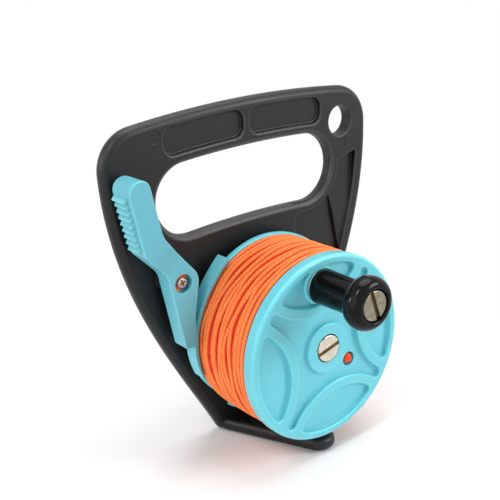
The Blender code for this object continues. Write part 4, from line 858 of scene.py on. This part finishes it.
def starLoop():
    halfPitch = 180 / face["count"]
    offset = face["arcOffset"]
    reach = offset * cos(radians(halfPitch))
    endRadius = offset * sin(radians(halfPitch)) - face["starArc"]
    points = []
    for i in range(face["count"]):
        turn = face["turn"] + 2 * halfPitch * i
        centre = turnedPoints([(offset, 0)], turn)[0]
        facing = 90 + halfPitch
        points += arcPoints(centre, face["starArc"], turn - facing + 360, turn + facing)
        end = turnedPoints([(reach, 0)], turn + halfPitch)[0]
        start = turn + facing + 180
        points += arcPoints(end, endRadius, start - 360, start - 180, 10)
    return cleaned(points)


def axleBore():
    return disc((0, 0), face["bore"], 48, near=0.0, through="bore")


def buildSpoolFront(material):
    rounds = {"near": face["lip"], "far": face["root"], "draft": face["draft"]}
    knob = knobFromSpool()
    sinkDepth = face["sinkFloor"] - (places["spoolFront"] + face["recess"] - face["ringRise"])
    sink = disc((0, 0), face["sinkRadius"], 72, depth=sinkDepth, near=0.15, far=0.0, inside=[axleBore()])
    ring = disc((0, 0), face["ringRadius"], 96, depth=-face["ringRise"], near=face["root"],
                far=face["ringRoot"], draft=0.15, inside=[sink])
    lineHole = disc(face["lineHole"], face["lineHoleRadius"], 40, depth=face["lineHoleDepth"], near=0.3,
                    far=0.0)
    features = [{"outline": starLoop(), "depth": face["recess"], "inside": [ring, lineHole], **rounds}]
    for i in range(face["count"]):
        turn = face["turn"] + 360 / face["count"] * i
        for part in lensPartsRoundKnob(turn) if i == 1 else [lensLoop(turn)]:
            features.append({"outline": part, "depth": face["recess"], **rounds})
    knobBore = disc(knob, face["knobBore"], 32, near=0.0, through="knobScrew")
    features.append(knobBore)
    room = disc((0, 0), face["spigotRoom"], 96, depth=face["spigotRise"], near=0.1, far=0.1,
                inside=[axleBore()])
    spigot = disc((0, 0), face["spigotRadius"], 96, depth=-face["spigotRise"], near=0.2, far=0.2,
                  inside=[room])
    nutPocket = {"outline": movedPoints(resampled(hexagon(face["nutFlats"]), 0.9), knob),
                 "depth": face["nutDepth"], "near": 0.1, "far": 0.0, "inside": [knobBore]}
    bm = slab(circle((0, 0), face["radius"], 160), places["spoolFront"], places["windingFront"],
              face["edge"], features, [spigot, nutPocket])
    addPiece("spoolFront", bm, "spool", material, ["spool_front"], onAxis("spoolAxis"))


rear = {"radius": 40.4, "edge": 0.7, "notchStart": 200.0, "notchEnd": 232.0, "notchDepth": 3.9, "count": 2,
        "drumLength": 30.4, "drum": 18.0, "drumRoom": 15.5, "hub": 8.0}


def rearRimLoop():
    # each notch ramps down from the rim and steps back up to it
    start, end, steps = rear["notchStart"], rear["notchEnd"], 12
    points = []
    for i in range(rear["count"]):
        turn = 360 / rear["count"] * i
        points += arcPoints((0, 0), rear["radius"], turn + end - 180, turn + start, 3)
        for k in range(1, steps + 1):
            around = radians(turn + start + (end - start) * (k / steps))
            reach = rear["radius"] - rear["notchDepth"] * (k / steps)
            points.append((reach * cos(around), reach * sin(around)))
    return cleaned(points)


def buildSpoolRear(material):
    inside = [axleBore()]
    for name, side, segments in (("hub", -1, 64), ("drumRoom", 1, 96), ("drum", -1, 96)):
        inside = [disc((0, 0), rear[name], segments, depth=side * rear["drumLength"], near=0.0, far=0.0,
                       inside=inside)]
    # a faint painted highlight on the rim's rounded edge
    bm = slab(rearRimLoop(), places["windingRear"], places["spoolRear"], rear["edge"], inside, [axleBore()],
              paintedLight=0.2)
    addPiece("spoolRear", bm, "spool", material, ["spool_rear"], onAxis("spoolAxis"))


# Line


winding = {"climbs": 12, "climbShare": 0.25, "rear": -9.7, "front": -38.2, "radius": 39.5,
           "crown": 0.2, "fullAt": 130.0, "fuller": 0.8, "halfWidth": 1.16, "leastHalfWidth": 0.8,
           "gap": 0.04, "halfHeight": 1.02, "sides": 14, "stepsPerTurn": 180, "wander": 2.4, "lift": 0.35,
           "cross": 0.16, "crossAt": 85.0, "crossReach": 100.0, "crossBack": 0.35,
           "noiseReach": 1.7, "swayRun": 0.75, "liftRun": 1.3, "liftApart": 7.0,
           "grooveStart": 0.66, "grooveFade": 0.5, "paintedGrooveShade": 0.9}


def windingPath():
    # each turn lies flat and climbs to the next one's place low on the right; on top of that
    # the turns wander, and over the upper left they run across towards the front flange
    line = winding
    flat = 1 - line["climbShare"]
    count = int((line["climbs"] + flat) * line["stepsPerTurn"])
    path = []
    for i in range(count + 1):
        turn, part = divmod(i / line["stepsPerTurn"], 1)
        share = (turn + smoothStep((part - flat) / line["climbShare"])) / line["climbs"]
        angle = 2 * pi * part
        inside = 4 * share * (1 - share)
        away = abs((degrees(angle) - line["crossAt"] + 180) % 360 - 180)
        bend = smoothStep(1 - away / line["crossReach"])
        moved = share + line["cross"] * inside * (bend - line["crossBack"])
        x, z = line["noiseReach"] * cos(angle), line["noiseReach"] * sin(angle)
        sway = noise.noise(Vector((x, z, line["swayRun"] * (turn + part))))
        y = line["rear"] + (line["front"] - line["rear"]) * moved
        y += line["wander"] * sway * min(1.0, 3 * inside)
        rise = noise.noise(Vector((x + line["liftApart"], z, line["liftRun"] * (turn + part))))
        reach = line["radius"] - line["halfHeight"] - line["crown"] * (2 * share - 1) ** 2
        reach += line["fuller"] * cos(angle - radians(line["fullAt"]))
        path.append((angle, reach + line["lift"] * min(0.0, rise), y))
    return path


def coverStrand(bm, rings, runStep, closed=False):
    # faces between the rings; u is the way along the strand and v goes once round it
    uvLayer = bm.loops.layers.uv.new("lineRun")
    sides = len(rings[0])
    for i, (a, b) in enumerate(zip(rings, rings[1:] + rings[:1] if closed else rings[1:])):
        for k in range(sides):
            following = (k + 1) % sides
            made = bm.faces.new((a[k], a[following], b[following], b[k]))
            for loop, (run, turn) in zip(made.loops, ((i, k), (i, k + 1), (i + 1, k + 1), (i + 1, k))):
                loop[uvLayer].uv = (run * runStep, turn / sides)


def buildWinding(material):
    line = winding
    bm = bmesh.new()
    layer = bm.verts.layers.float.new("paintedLight")
    path = windingPath()
    rings = []
    for i, (angle, reach, y) in enumerate(path):
        # where neighbours come close, the line is squeezed narrower
        near = [abs(path[k][2] - y) for k in (i - line["stepsPerTurn"], i + line["stepsPerTurn"])
                if 0 <= k < len(path)]
        least, gap = line["leastHalfWidth"], line["gap"]
        width = min([line["halfWidth"]] + [max(least, apart / 2 - gap / 2) for apart in near])
        out = Vector((cos(angle), 0, sin(angle)))
        ring = []
        for k in range(line["sides"]):
            turn = 2 * pi * k / line["sides"]
            radial, axial = cos(turn), sin(turn)
            place = out * (reach + line["halfHeight"] * radial) + Vector((0, y + width * axial, 0))
            vert = bm.verts.new(place)
            # painted shade on the strand's sides and underside, where it meets its neighbours and the bed
            share = max(0.0, line["grooveStart"] - radial) / line["grooveFade"]
            vert[layer] = line["paintedGrooveShade"] * min(1.0, share)
            ring.append(vert)
        rings.append(ring)
    coverStrand(bm, rings, 2 * pi * line["radius"] / line["stepsPerTurn"] / (2 * line["halfWidth"]))
    bm.faces.new(rings[0])
    bm.faces.new(rings[-1][::-1])
    addPiece("lineWinding", bm, "spool", material, ["line_winding"], onAxis("spoolAxis"),
             weighted=False)


def buildLineBed(material):
    # the layers under the outer one, seen only in the grooves and darkened there by a painted shade; their
    # turns lean the other way
    bed = {"radius": 37.95, "crown": 0.2, "wave": 0.3, "waves": 13, "lean": 3, "tone": 0.55,
           "bore": 18.3, "rear": -8.9, "front": -39.0, "outerRear": -8.95, "outerLength": 30.0,
           "runPerTurn": 18, "turnWidth": 2.4}
    steps = 120
    outer = [(bed["radius"] - bed["crown"] * (2 * i / steps - 1) ** 2,
              bed["outerRear"] - bed["outerLength"] * (i / steps), bed["tone"]) for i in range(steps + 1)]
    ends = [(bed["bore"], bed[end], bed["tone"]) for end in ("rear", "front")]
    bm = turned(ends[:1] + outer + ends[1:], 144)
    for vert in bm.verts:
        if hypot(vert.co.x, vert.co.z) > (bed["bore"] + bed["radius"]) / 2:
            around = atan2(vert.co.z, vert.co.x)
            phase = 2 * pi * bed["waves"] * (vert.co.y - bed["outerRear"]) / -bed["outerLength"]
            shift = bed["wave"] * cos(phase + bed["lean"] * around)
            shift += winding["fuller"] * cos(around - radians(winding["fullAt"]))
            vert.co += Vector((cos(around), 0, sin(around))) * shift
    uvLayer = bm.loops.layers.uv.new("lineRun")
    for made in bm.faces:
        for loop in made.loops:
            x, y, z = loop.vert.co
            loop[uvLayer].uv = (atan2(z, x) * bed["runPerTurn"], y / bed["turnWidth"])
    addPiece("lineBed", bm, "spool", material, ["line_core"], onAxis("spoolAxis"), weighted=False)


def buildKnot(material):
    # the inner end comes through the face as two folded strands in the hole, darkened by a painted shade
    knot = {"strand": 0.95, "sides": 12, "steps": 60, "loopRadius": 1.2, "loopSway": 0.35, "weave": 0.62,
            "sink": 1.3, "tone": 0.75, "runStep": 0.2}
    centre = Vector((face["lineHole"][0], places["faceFloor"] + knot["sink"], face["lineHole"][1]))
    path = []
    for i in range(knot["steps"]):
        t = 2 * pi * i / knot["steps"]
        reach = knot["loopRadius"] + knot["loopSway"] * cos(3 * t)
        path.append(centre + Vector((reach * cos(2 * t), knot["weave"] * sin(3 * t), reach * sin(2 * t))))
    bm = bmesh.new()
    layer = bm.verts.layers.float.new("paintedLight")
    rings = []
    for i, place in enumerate(path):
        along = (path[(i + 1) % len(path)] - path[i - 1]).normalized()
        side = along.cross(Vector((0, 1, 0))).normalized()
        up = side.cross(along)
        ring = []
        for k in range(knot["sides"]):
            turn = 2 * pi * k / knot["sides"]
            vert = bm.verts.new(place + (side * cos(turn) + up * sin(turn)) * knot["strand"])
            vert[layer] = knot["tone"]
            ring.append(vert)
        rings.append(ring)
    coverStrand(bm, rings, knot["runStep"], closed=True)
    addPiece("lineKnot", bm, "spool", material, ["line_knot"], onAxis("spoolAxis"), weighted=False)


# Knob and screws


def buildKnob(material):
    # a barrel drawn in a little at half length, and a bun-shaped head with a sunk end
    knob = {"rear": -47.0, "rearRound": 0.6, "rearCut": 0.18, "front": -76.1, "barrel": 7.4,
            "waist": 0.15, "neck": 7.2, "neckAt": -66.9, "head": 10.8, "widestAt": -71.7, "bun": 0.8,
            "lip": 7.3, "recess": 6.7, "recessLip": 0.3, "recessLipDrop": 0.08, "recessEdge": 0.45,
            "recessDepth": 3.4, "bore": 4.1}
    rearEnd, front, widest = knob["rear"], knob["front"], knob["widestAt"]
    barrelLength = rearEnd - knob["rearRound"] - knob["neckAt"]
    profile = [(knob["bore"], rearEnd), (knob["barrel"] - knob["rearRound"], rearEnd),
               (knob["barrel"] - knob["rearCut"], rearEnd - knob["rearCut"])]
    for i in range(12):
        share = i / 12
        reach = knob["barrel"] + (knob["neck"] - knob["barrel"]) * share - knob["waist"] * sin(pi * share)
        profile.append((reach, rearEnd - knob["rearRound"] - barrelLength * share))
    spread = knob["head"] - knob["neck"]
    profile += [(knob["neck"] + spread * sin(radians(a)) ** knob["bun"],
                 widest + (knob["neckAt"] - widest) * cos(radians(a))) for a in range(0, 90, 6)]
    dome = knob["head"] - knob["lip"]
    profile += [(knob["lip"] + dome * cos(radians(a)), widest + (front - widest) * sin(radians(a)))
                for a in range(0, 91, 6)]
    floor = front + knob["recessDepth"]
    profile += [(knob["recess"] + knob["recessLip"], front + knob["recessLipDrop"]),
                (knob["recess"], front + knob["recessEdge"]), (knob["recess"], floor),
                (knob["bore"], floor)]
    addPiece("crankKnob", turned(profile, 112), "crank_knob", material, ["knob"],
             onAxis("knobAxis"))


def slottedScrew(name, screw, body, material, slotMaterial, nodeName, axis):
    # cheese-head screw: a slot right across a faintly domed face, or a cross of shorter ones
    ease = {"tip": 0.3, "rear": 0.1, "lip": 0.4, "domeSide": 0.03, "dome": 0.04, "slot": 0.1}
    front, rearFace = screw["headFront"], screw["headRear"]
    head, shank, end, lip = screw["head"], screw["shank"], screw["end"], ease["lip"]
    profile = [(0, end), (shank - ease["tip"], end), (shank, end - ease["tip"]), (shank, rearFace),
               (head - ease["rear"], rearFace), (head, rearFace - ease["rear"])]
    profile += [(head - lip + lip * cos(radians(a)), front + lip - lip * sin(radians(a)), 1.0)
                for a in range(0, 91, 18)]
    profile += [(head * 0.5, front - ease["domeSide"]), (0, front - ease["dome"])]
    piece = addPiece(name, turned(profile, 80, closed=False), body, material, [nodeName],
                     onAxis(axis))
    half, reach = screw["slotWidth"] / 2, screw.get("slotReach", head + 1)
    corners = [(x, y, z) for y in (front - 1, front + screw["slotDepth"]) for x, z in
               ((-reach, -half), (reach, -half), (reach, half), (-reach, half))]
    for slotTurn in screw["slotTurns"]:
        tool = bmesh.new()
        turn = Matrix.Rotation(-radians(slotTurn), 4, "Y")
        verts = [tool.verts.new(turn @ Vector(c)) for c in corners]
        for quad in ((0, 1, 2, 3), (7, 6, 5, 4), (0, 4, 5, 1), (1, 5, 6, 2), (2, 6, 7, 3), (3, 7, 4, 0)):
            tool.faces.new([verts[i] for i in quad])
        # the slot's cut faces take the painted shade material
        combine(piece, "DIFFERENCE", tool, onAxis(axis), slotMaterial,
                ease["slot"] if slotTurn == screw["slotTurns"][-1] else 0.0)


def buildScrews(looks):
    axle = {"headFront": -45.9, "headRear": -43.3, "head": 5.7, "shank": 3.0, "end": 7.6,
            "slotWidth": 1.7, "slotDepth": 1.3, "slotTurns": (12.6,)}
    slot = looks["slotNickelPaintedShade"]
    slottedScrew("axleBolt", axle, "handle", looks["nickel"], slot, "axle_bolt", "spoolAxis")
    knob = {"headFront": -75.7, "headRear": -73.3, "head": 6.0, "shank": 2.5, "end": -39.6,
            "slotWidth": 1.9, "slotDepth": 1.3, "slotTurns": (-73.0,)}
    slottedScrew("knobScrew", knob, "spool", looks["darkMottledNickel"], slot, "knob_screw", "knobAxis")
    pivot = {"headFront": -11.2, "headRear": -9.98, "head": 2.15, "shank": 1.5, "end": 0.5,
             "slotWidth": 0.6, "slotDepth": 0.8, "slotReach": 1.35, "slotTurns": (20.0, 110.0)}
    slottedScrew("leverScrew", pivot, "handle", looks["pivotNickel"], slot, "lever_screw", "leverAxis")


def buildLeverWasher(material):
    # a ring with two wide lugs, which show beside the screw's head
    washer = {"front": -9.96, "back": -9.26, "lug": 3.7, "waist": 2.3, "bore": 1.55,
              "lugs": ((36.0, 114.0), (200.0, 256.0))}
    outline = []
    for k, (start, end) in enumerate(washer["lugs"]):
        following = washer["lugs"][(k + 1) % 2][0] + 360 * (k == 1)
        outline += arcPoints((0, 0), washer["lug"], start, end, 6)
        outline += arcPoints((0, 0), washer["waist"], end, following, 6)
    bore = disc((0, 0), washer["bore"], 40, near=0.0, through="bore")
    bm = slab(cleaned(outline), washer["front"], washer["back"], 0.0, [bore], [bore])
    addPiece("leverWasher", bm, "handle", material, ["lever_washer"], onAxis("leverAxis"))


# Lever


lever = {
    "back": -3.66, "thick": 8.5, "frontEdge": 0.55, "backEdge": 0.7,
    "rampFoot": (-8.0, 5.2), "rampLeanDeg": 47.0, "rampLength": 12.5, "rampExtra": 2.4,
    "thumbTiltDeg": 5.3, "footSoft": 1.3, "topSoft": 1.8,
    "ribCount": 9, "ribHeight": 1.35, "topRibHeight": 1.8, "ribWidth": 2.3, "ribTip": 0.6, "crestPaintedHighlight": 0.9,
    "ribPitch": 2.67, "ribFirst": 2.3, "ribFromFront": 1.3, "ribFromBack": 0.7, "ribFade": 0.45,
    "ribFoot": 0.12, "ribRise": 0.15, "ribSoft": 0.5, "ribEnd": 0.1,
    "sinkRadius": 4.0, "sinkDepth": 3.5, "boreRadius": 3.5,
    "corners": [(-1.5, -28.6, 1.8), (4.9, -28.6, 1.8), (4.2, -16.9, 20.0), (7.9, 1.6, 7.3),
                (-8.5, 21.9, 12.0), (-14.1, 47.6, 4.8), (-23.5, 45.2, 4.8), (-17.6, 16.0, 3.0),
                (-7.0, 4.7, 8.0)],
}


def ribbedSide():
    # the lower end of the thumb side, the way along it and the way out of it
    high, low = (Vector(corner[:2]) for corner in lever["corners"][6:8])
    along = (high - low).normalized()
    return low, along, Vector((-along.y, along.x))


def leverLoop():
    # the outline, with points set where each rib begins, peaks and ends
    longSide, spacing = 20.0, 1.0
    low, along, _ = ribbedSide()
    tip = lever["ribTip"] / 2
    marks = []
    for k in range(lever["ribCount"]):
        crest = lever["ribFirst"] + lever["ribPitch"] * k
        marks += [crest + step for step in (
            -tip - lever["ribFoot"], -tip, lever["ribRise"] - tip, tip, tip + lever["ribSoft"],
            lever["ribWidth"] - tip - lever["ribEnd"])]
    loop = []
    outline = roundedLoop(lever["corners"], 6.0)
    for i, point in enumerate(outline):
        loop.append(point)
        start, end = Vector(point), Vector(outline[(i + 1) % len(outline)])
        if (end - start).dot(along) < -longSide:      # the straight thumb side, passed downwards
            near, far = ((p - low).dot(along) for p in (end, start))
            loop += [tuple(low + along * mark) for mark in reversed(marks) if near < mark < far]
        elif (end - start).length > 2 * spacing:
            count = round((end - start).length / spacing)
            loop += [tuple(start.lerp(end, k / count)) for k in range(1, count)]
    return loop


def ribPush(distance):
    # how far a rib stands out at a distance along the thumb side: flat below, sloping above
    index = int((distance - lever["ribFirst"] + lever["ribPitch"] / 2) / lever["ribPitch"])
    if distance < 0 or index >= lever["ribCount"]:
        return 0.0
    height = lever["topRibHeight"] if index == lever["ribCount"] - 1 else lever["ribHeight"]
    tip = lever["ribTip"] / 2
    off = distance - lever["ribFirst"] - lever["ribPitch"] * index
    below = (off + tip + lever["ribFoot"]) / (lever["ribFoot"] + lever["ribRise"])
    above = lever["ribWidth"] - tip - lever["ribEnd"]
    above = (above - off) / (above - tip)
    return height * max(0.0, min(1.0, below, above))


def easedRise(reach, soft):
    # 0 before the bend and the distance past it after, with a round between them
    if reach < -soft:
        return 0.0
    return reach if reach > soft else (reach + soft) ** 2 / (4 * soft)


def thumbExtra(x, z):
    # how much further forwards the lever's front lies at a place
    lean = radians(lever["rampLeanDeg"])
    foot = lever["rampFoot"]
    reach = (z - foot[1]) * cos(lean) - (x - foot[0]) * sin(lean)
    beyond = easedRise(reach - lever["rampLength"], lever["topSoft"])
    onRamp = (easedRise(reach, lever["footSoft"]) - beyond) / lever["rampLength"]
    return lever["rampExtra"] * onRamp + beyond * tan(radians(lever["thumbTiltDeg"]))


def bendPlanes():
    # cuts across the front at the two bends, close enough to shade as rounds
    lean = radians(lever["rampLeanDeg"])
    way = Vector((-sin(lean), cos(lean)))
    for reach, soft in ((0.0, lever["footSoft"]), (lever["rampLength"], lever["topSoft"])):
        for k in range(-3, 4):
            yield Vector(lever["rampFoot"]) + way * (reach + soft * k / 3), way


def buildLever(material):
    low, along, outward = ribbedSide()
    front = lever["back"] - lever["thick"]
    start, end, fade = lever["ribFromFront"], lever["thick"] - lever["ribFromBack"], lever["ribFade"]
    onSide = 0.02
    # inset, depth from the front, painted highlight tone, share of the ribs' height
    levels = [(*level, 0.0) for level in roundLevels(lever["frontEdge"], 4)]
    levels += [(0.0, depth, 0.0, share) for depth, share in (
        (start, 0.0), (start + fade * 0.4, 0.6), (start + fade, 1.0), (end - fade, 1.0), (end, 0.0))]
    levels += [(inset, lever["thick"] - down, 0.0, 0.0)
               for inset, down, _ in reversed(roundLevels(lever["backEdge"], 4)[:-1])]
    loop = leverLoop()
    bm = bmesh.new()
    rings = []
    for distance, depth, tone, ribbed in levels:
        points, pushes = [], []
        for (x, z), base in zip(insetLoop(loop, distance), loop):
            place = Vector(base) - low
            push = ribPush(place.dot(along)) * ribbed if abs(place.dot(outward)) < onSide else 0.0
            points.append((x + outward.x * push, z + outward.y * push))
            pushes.append(push)
        ring = addRing(bm, points, front + depth, tone)
        # painted highlight on the rib crests
        for vert, push in zip(ring, pushes):      # the crests catch the light
            vert[bm.verts.layers.float["paintedLight"]] += lever["crestPaintedHighlight"] * push / lever["ribHeight"]
        rings.append(ring)
    joinRings(bm, rings)
    bore = disc((0, 0), lever["boreRadius"], 40, near=0.0, through="bore")
    sink = disc((0, 0), lever["sinkRadius"], 56, depth=lever["sinkDepth"], near=0.25, far=0.15,
                inside=[bore])
    frontOpen = carve(bm, rings[0], front, 1, [sink])
    backOpen = carve(bm, rings[-1], lever["back"], -1, [{**bore, "near": 0.2}])
    joinRings(bm, [frontOpen["bore"], backOpen["bore"]])
    for place, way in bendPlanes():
        bmesh.ops.bisect_plane(bm, geom=bm.verts[:] + bm.edges[:] + bm.faces[:],
                               plane_co=(place.x, 0, place.y), plane_no=(way.x, 0, way.y))
    for vert in bm.verts:
        depth = (lever["back"] - vert.co.y) / lever["thick"]
        vert.co.y -= thumbExtra(vert.co.x, vert.co.z) * depth
    piece = addPiece("thumbLever", bm, "brake_lever", material, ["lever"],
                     onAxis("leverAxis"))
    fuseArm(piece)


def fuseArm(piece):
    # a band round the spool's rear rim that tapers to its tail, and the thick root over it
    arm = {"inner": 40.75, "thick": 1.6, "topThick": 1.75, "tailThick": 0.5, "topLift": 1.35,
           "back": -4.9, "depth": 6.5, "edge": 0.2, "top": 122.0, "liftEnd": 146.0, "taperStart": 182.0,
           "tail": 197.0, "rootTop": 161.5, "rootFoot": 174.5, "rootThick": 3.4, "rootLift": 0.25,
           "rootInset": 0.5}
    steps = 60
    inner, outer = [], []
    for i in range(steps + 1):
        turn = arm["top"] + (arm["tail"] - arm["top"]) * i / steps
        lift = max(0.0, (arm["liftEnd"] - turn) / (arm["liftEnd"] - arm["top"]))
        taper = max(0.0, (turn - arm["taperStart"]) / (arm["tail"] - arm["taperStart"]))
        reach = arm["inner"] + arm["topLift"] * lift ** 2
        thick = arm["thick"] + (arm["topThick"] - arm["thick"]) * lift
        thick += (arm["tailThick"] - arm["thick"]) * taper
        way = Vector((cos(radians(turn)), sin(radians(turn))))
        inner.append(tuple(way * reach))
        outer.append(tuple(way * (reach + thick)))
    front = arm["back"] - arm["depth"]
    band = slab(cleaned(outer + inner[::-1]), front, arm["back"], arm["edge"], edgeSteps=3)
    rootInner = arm["inner"] + arm["rootLift"]
    root = arcPoints((0, 0), rootInner + arm["rootThick"], arm["rootTop"], arm["rootFoot"], 2)
    root += arcPoints((0, 0), rootInner, arm["rootFoot"], arm["rootTop"], 2)
    block = slab(root, front + arm["rootInset"], arm["back"] - arm["rootInset"], 0.0)
    for bm in (band, block):
        combine(piece, "UNION", bm, onAxis("spoolAxis"))


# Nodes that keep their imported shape


def dressNodes(looks):
    slots = {s["node"]: s["material_slot"] for s in frame["record"]["subparts"]}
    for name, node in frame["nodes"].items():
        if node.hide_render:
            continue
        node.data.materials.clear()
        node.data.materials.append(looks[slots[name]])
        shade(node, 35.0, weighted=False)
        print("dressed", name)


groups = {"mouldedGrainAndPaintedHighlight": mouldedGrainAndPaintedHighlightGroup()}
# the highlight colours are painted highlights on the marked rounded edges and rib crests
looks = {
    "frame_plastic": mouldedMaterial("framePlastic", {
        "colour": (0.0075, 0.0075, 0.008), "paintedHighlightColour": (0.055, 0.055, 0.055), "paintedHighlightShare": 0.9,
        "grainScale": 2600.0, "cloudShare": 0.25, "roughness": 0.42, "specular": 0.35, "bump": 0.45,
        "bumpHeight": 0.00012}),
    "spool_plastic": mouldedMaterial("spoolPlastic", {
        "colour": (0.128, 0.530, 0.620), "paintedHighlightColour": (0.185, 0.710, 0.775), "paintedHighlightShare": 0.6,
        "cloudShare": 0.06, "roughness": 0.36, "bump": 0.08, "glow": 0.10}),
    "lever": mouldedMaterial("leverPlastic", {
        "colour": (0.118, 0.430, 0.515), "paintedHighlightColour": (0.200, 0.680, 0.750), "paintedHighlightShare": 0.45,
        "cloudShare": 0.08, "roughness": 0.42, "bump": 0.08, "glow": 0.10}),
    "knob_plastic": mouldedMaterial("knobPlastic", {
        "colour": (0.003, 0.003, 0.0033), "paintedHighlightColour": (0.006, 0.006, 0.0066), "paintedHighlightShare": 0.2,
        "grainScale": 900.0, "roughness": 0.09, "specular": 0.16, "bump": 0.03}),
    "washer_plastic": mouldedMaterial("washerPlastic", {
        "colour": (0.90, 0.14, 0.03), "paintedHighlightColour": (1.0, 0.2, 0.06)}),
    "nylon": mouldedMaterial("nylonPlastic", {
        "colour": (0.80, 0.80, 0.76), "paintedHighlightColour": (0.85, 0.85, 0.82)}),
    "nickel": metalMaterial("nickelSteel", {
        "colour": (0.84, 0.76, 0.65), "darkColour": (0.52, 0.46, 0.37), "cloudScale": 420.0,
        "grainScale": 3200.0, "cloudShare": 0.18, "roughness": 0.26, "bump": 0.12, "bumpHeight": 0.00008}),
    # a darker, more mottled nickel for the knob's screw
    "darkMottledNickel": metalMaterial("darkMottledNickel", {
        "colour": (0.52, 0.46, 0.34), "darkColour": (0.08, 0.080, 0.065), "cloudScale": 620.0}),
    "pivotNickel": metalMaterial("pivotNickel", {
        "colour": (0.74, 0.72, 0.68), "darkColour": (0.22, 0.21, 0.19), "cloudScale": 1100.0,
        "grainScale": 1500.0, "cloudShare": 0.3, "roughness": 0.50, "bump": 0.9, "bumpHeight": 0.00020}),
    # painted shade: the slots' cut faces are darker than the screw heads
    "slotNickelPaintedShade": metalMaterial("slotNickelPaintedShade", {
        "colour": (0.42, 0.33, 0.21), "darkColour": (0.12, 0.09, 0.05), "cloudScale": 500.0,
        "cloudShare": 0.2, "roughness": 0.45}),
    "spring_steel": metalMaterial("springSteel", {
        "colour": (0.50, 0.50, 0.51), "darkColour": (0.38, 0.38, 0.39), "cloudScale": 200.0,
        "grainScale": 3000.0, "cloudShare": 0.1, "roughness": 0.35, "bump": 0.08, "bumpHeight": 0.00008}),
    "line": lineMaterial("lineBraid", {
        "colour": (1.0, 0.275, 0.058), "darkColour": (0.86, 0.062, 0.010), "strandsRound": 3,
        "lays": ((1, 0.34), (-1, 0.16)), "crossingsPerDiameter": 1.4, "layFuzz": 1.1, "braidTone": 0.50,
        "fuzzScale": 1700.0, "fuzzTone": 0.80, "cloudScale": 160.0, "cloudTone": 0.25,
        "roughness": 0.85, "sheen": 0.05, "bump": 0.75, "bumpHeight": 0.0003}),
}
print("materials made")

addCamera()
addWorld()
addLamps()
addFloor()
buildFrame(looks["frame_plastic"])
buildSpoolRear(looks["spool_plastic"])
buildSpoolFront(looks["spool_plastic"])
buildLineBed(looks["line"])
buildWinding(looks["line"])
buildKnot(looks["line"])
buildKnob(looks["knob_plastic"])
buildScrews(looks)
buildLeverWasher(looks["washer_plastic"])
buildLever(looks["lever"])
dressNodes(looks)

scene = bpy.context.scene
scene.view_settings.view_transform = "Standard"
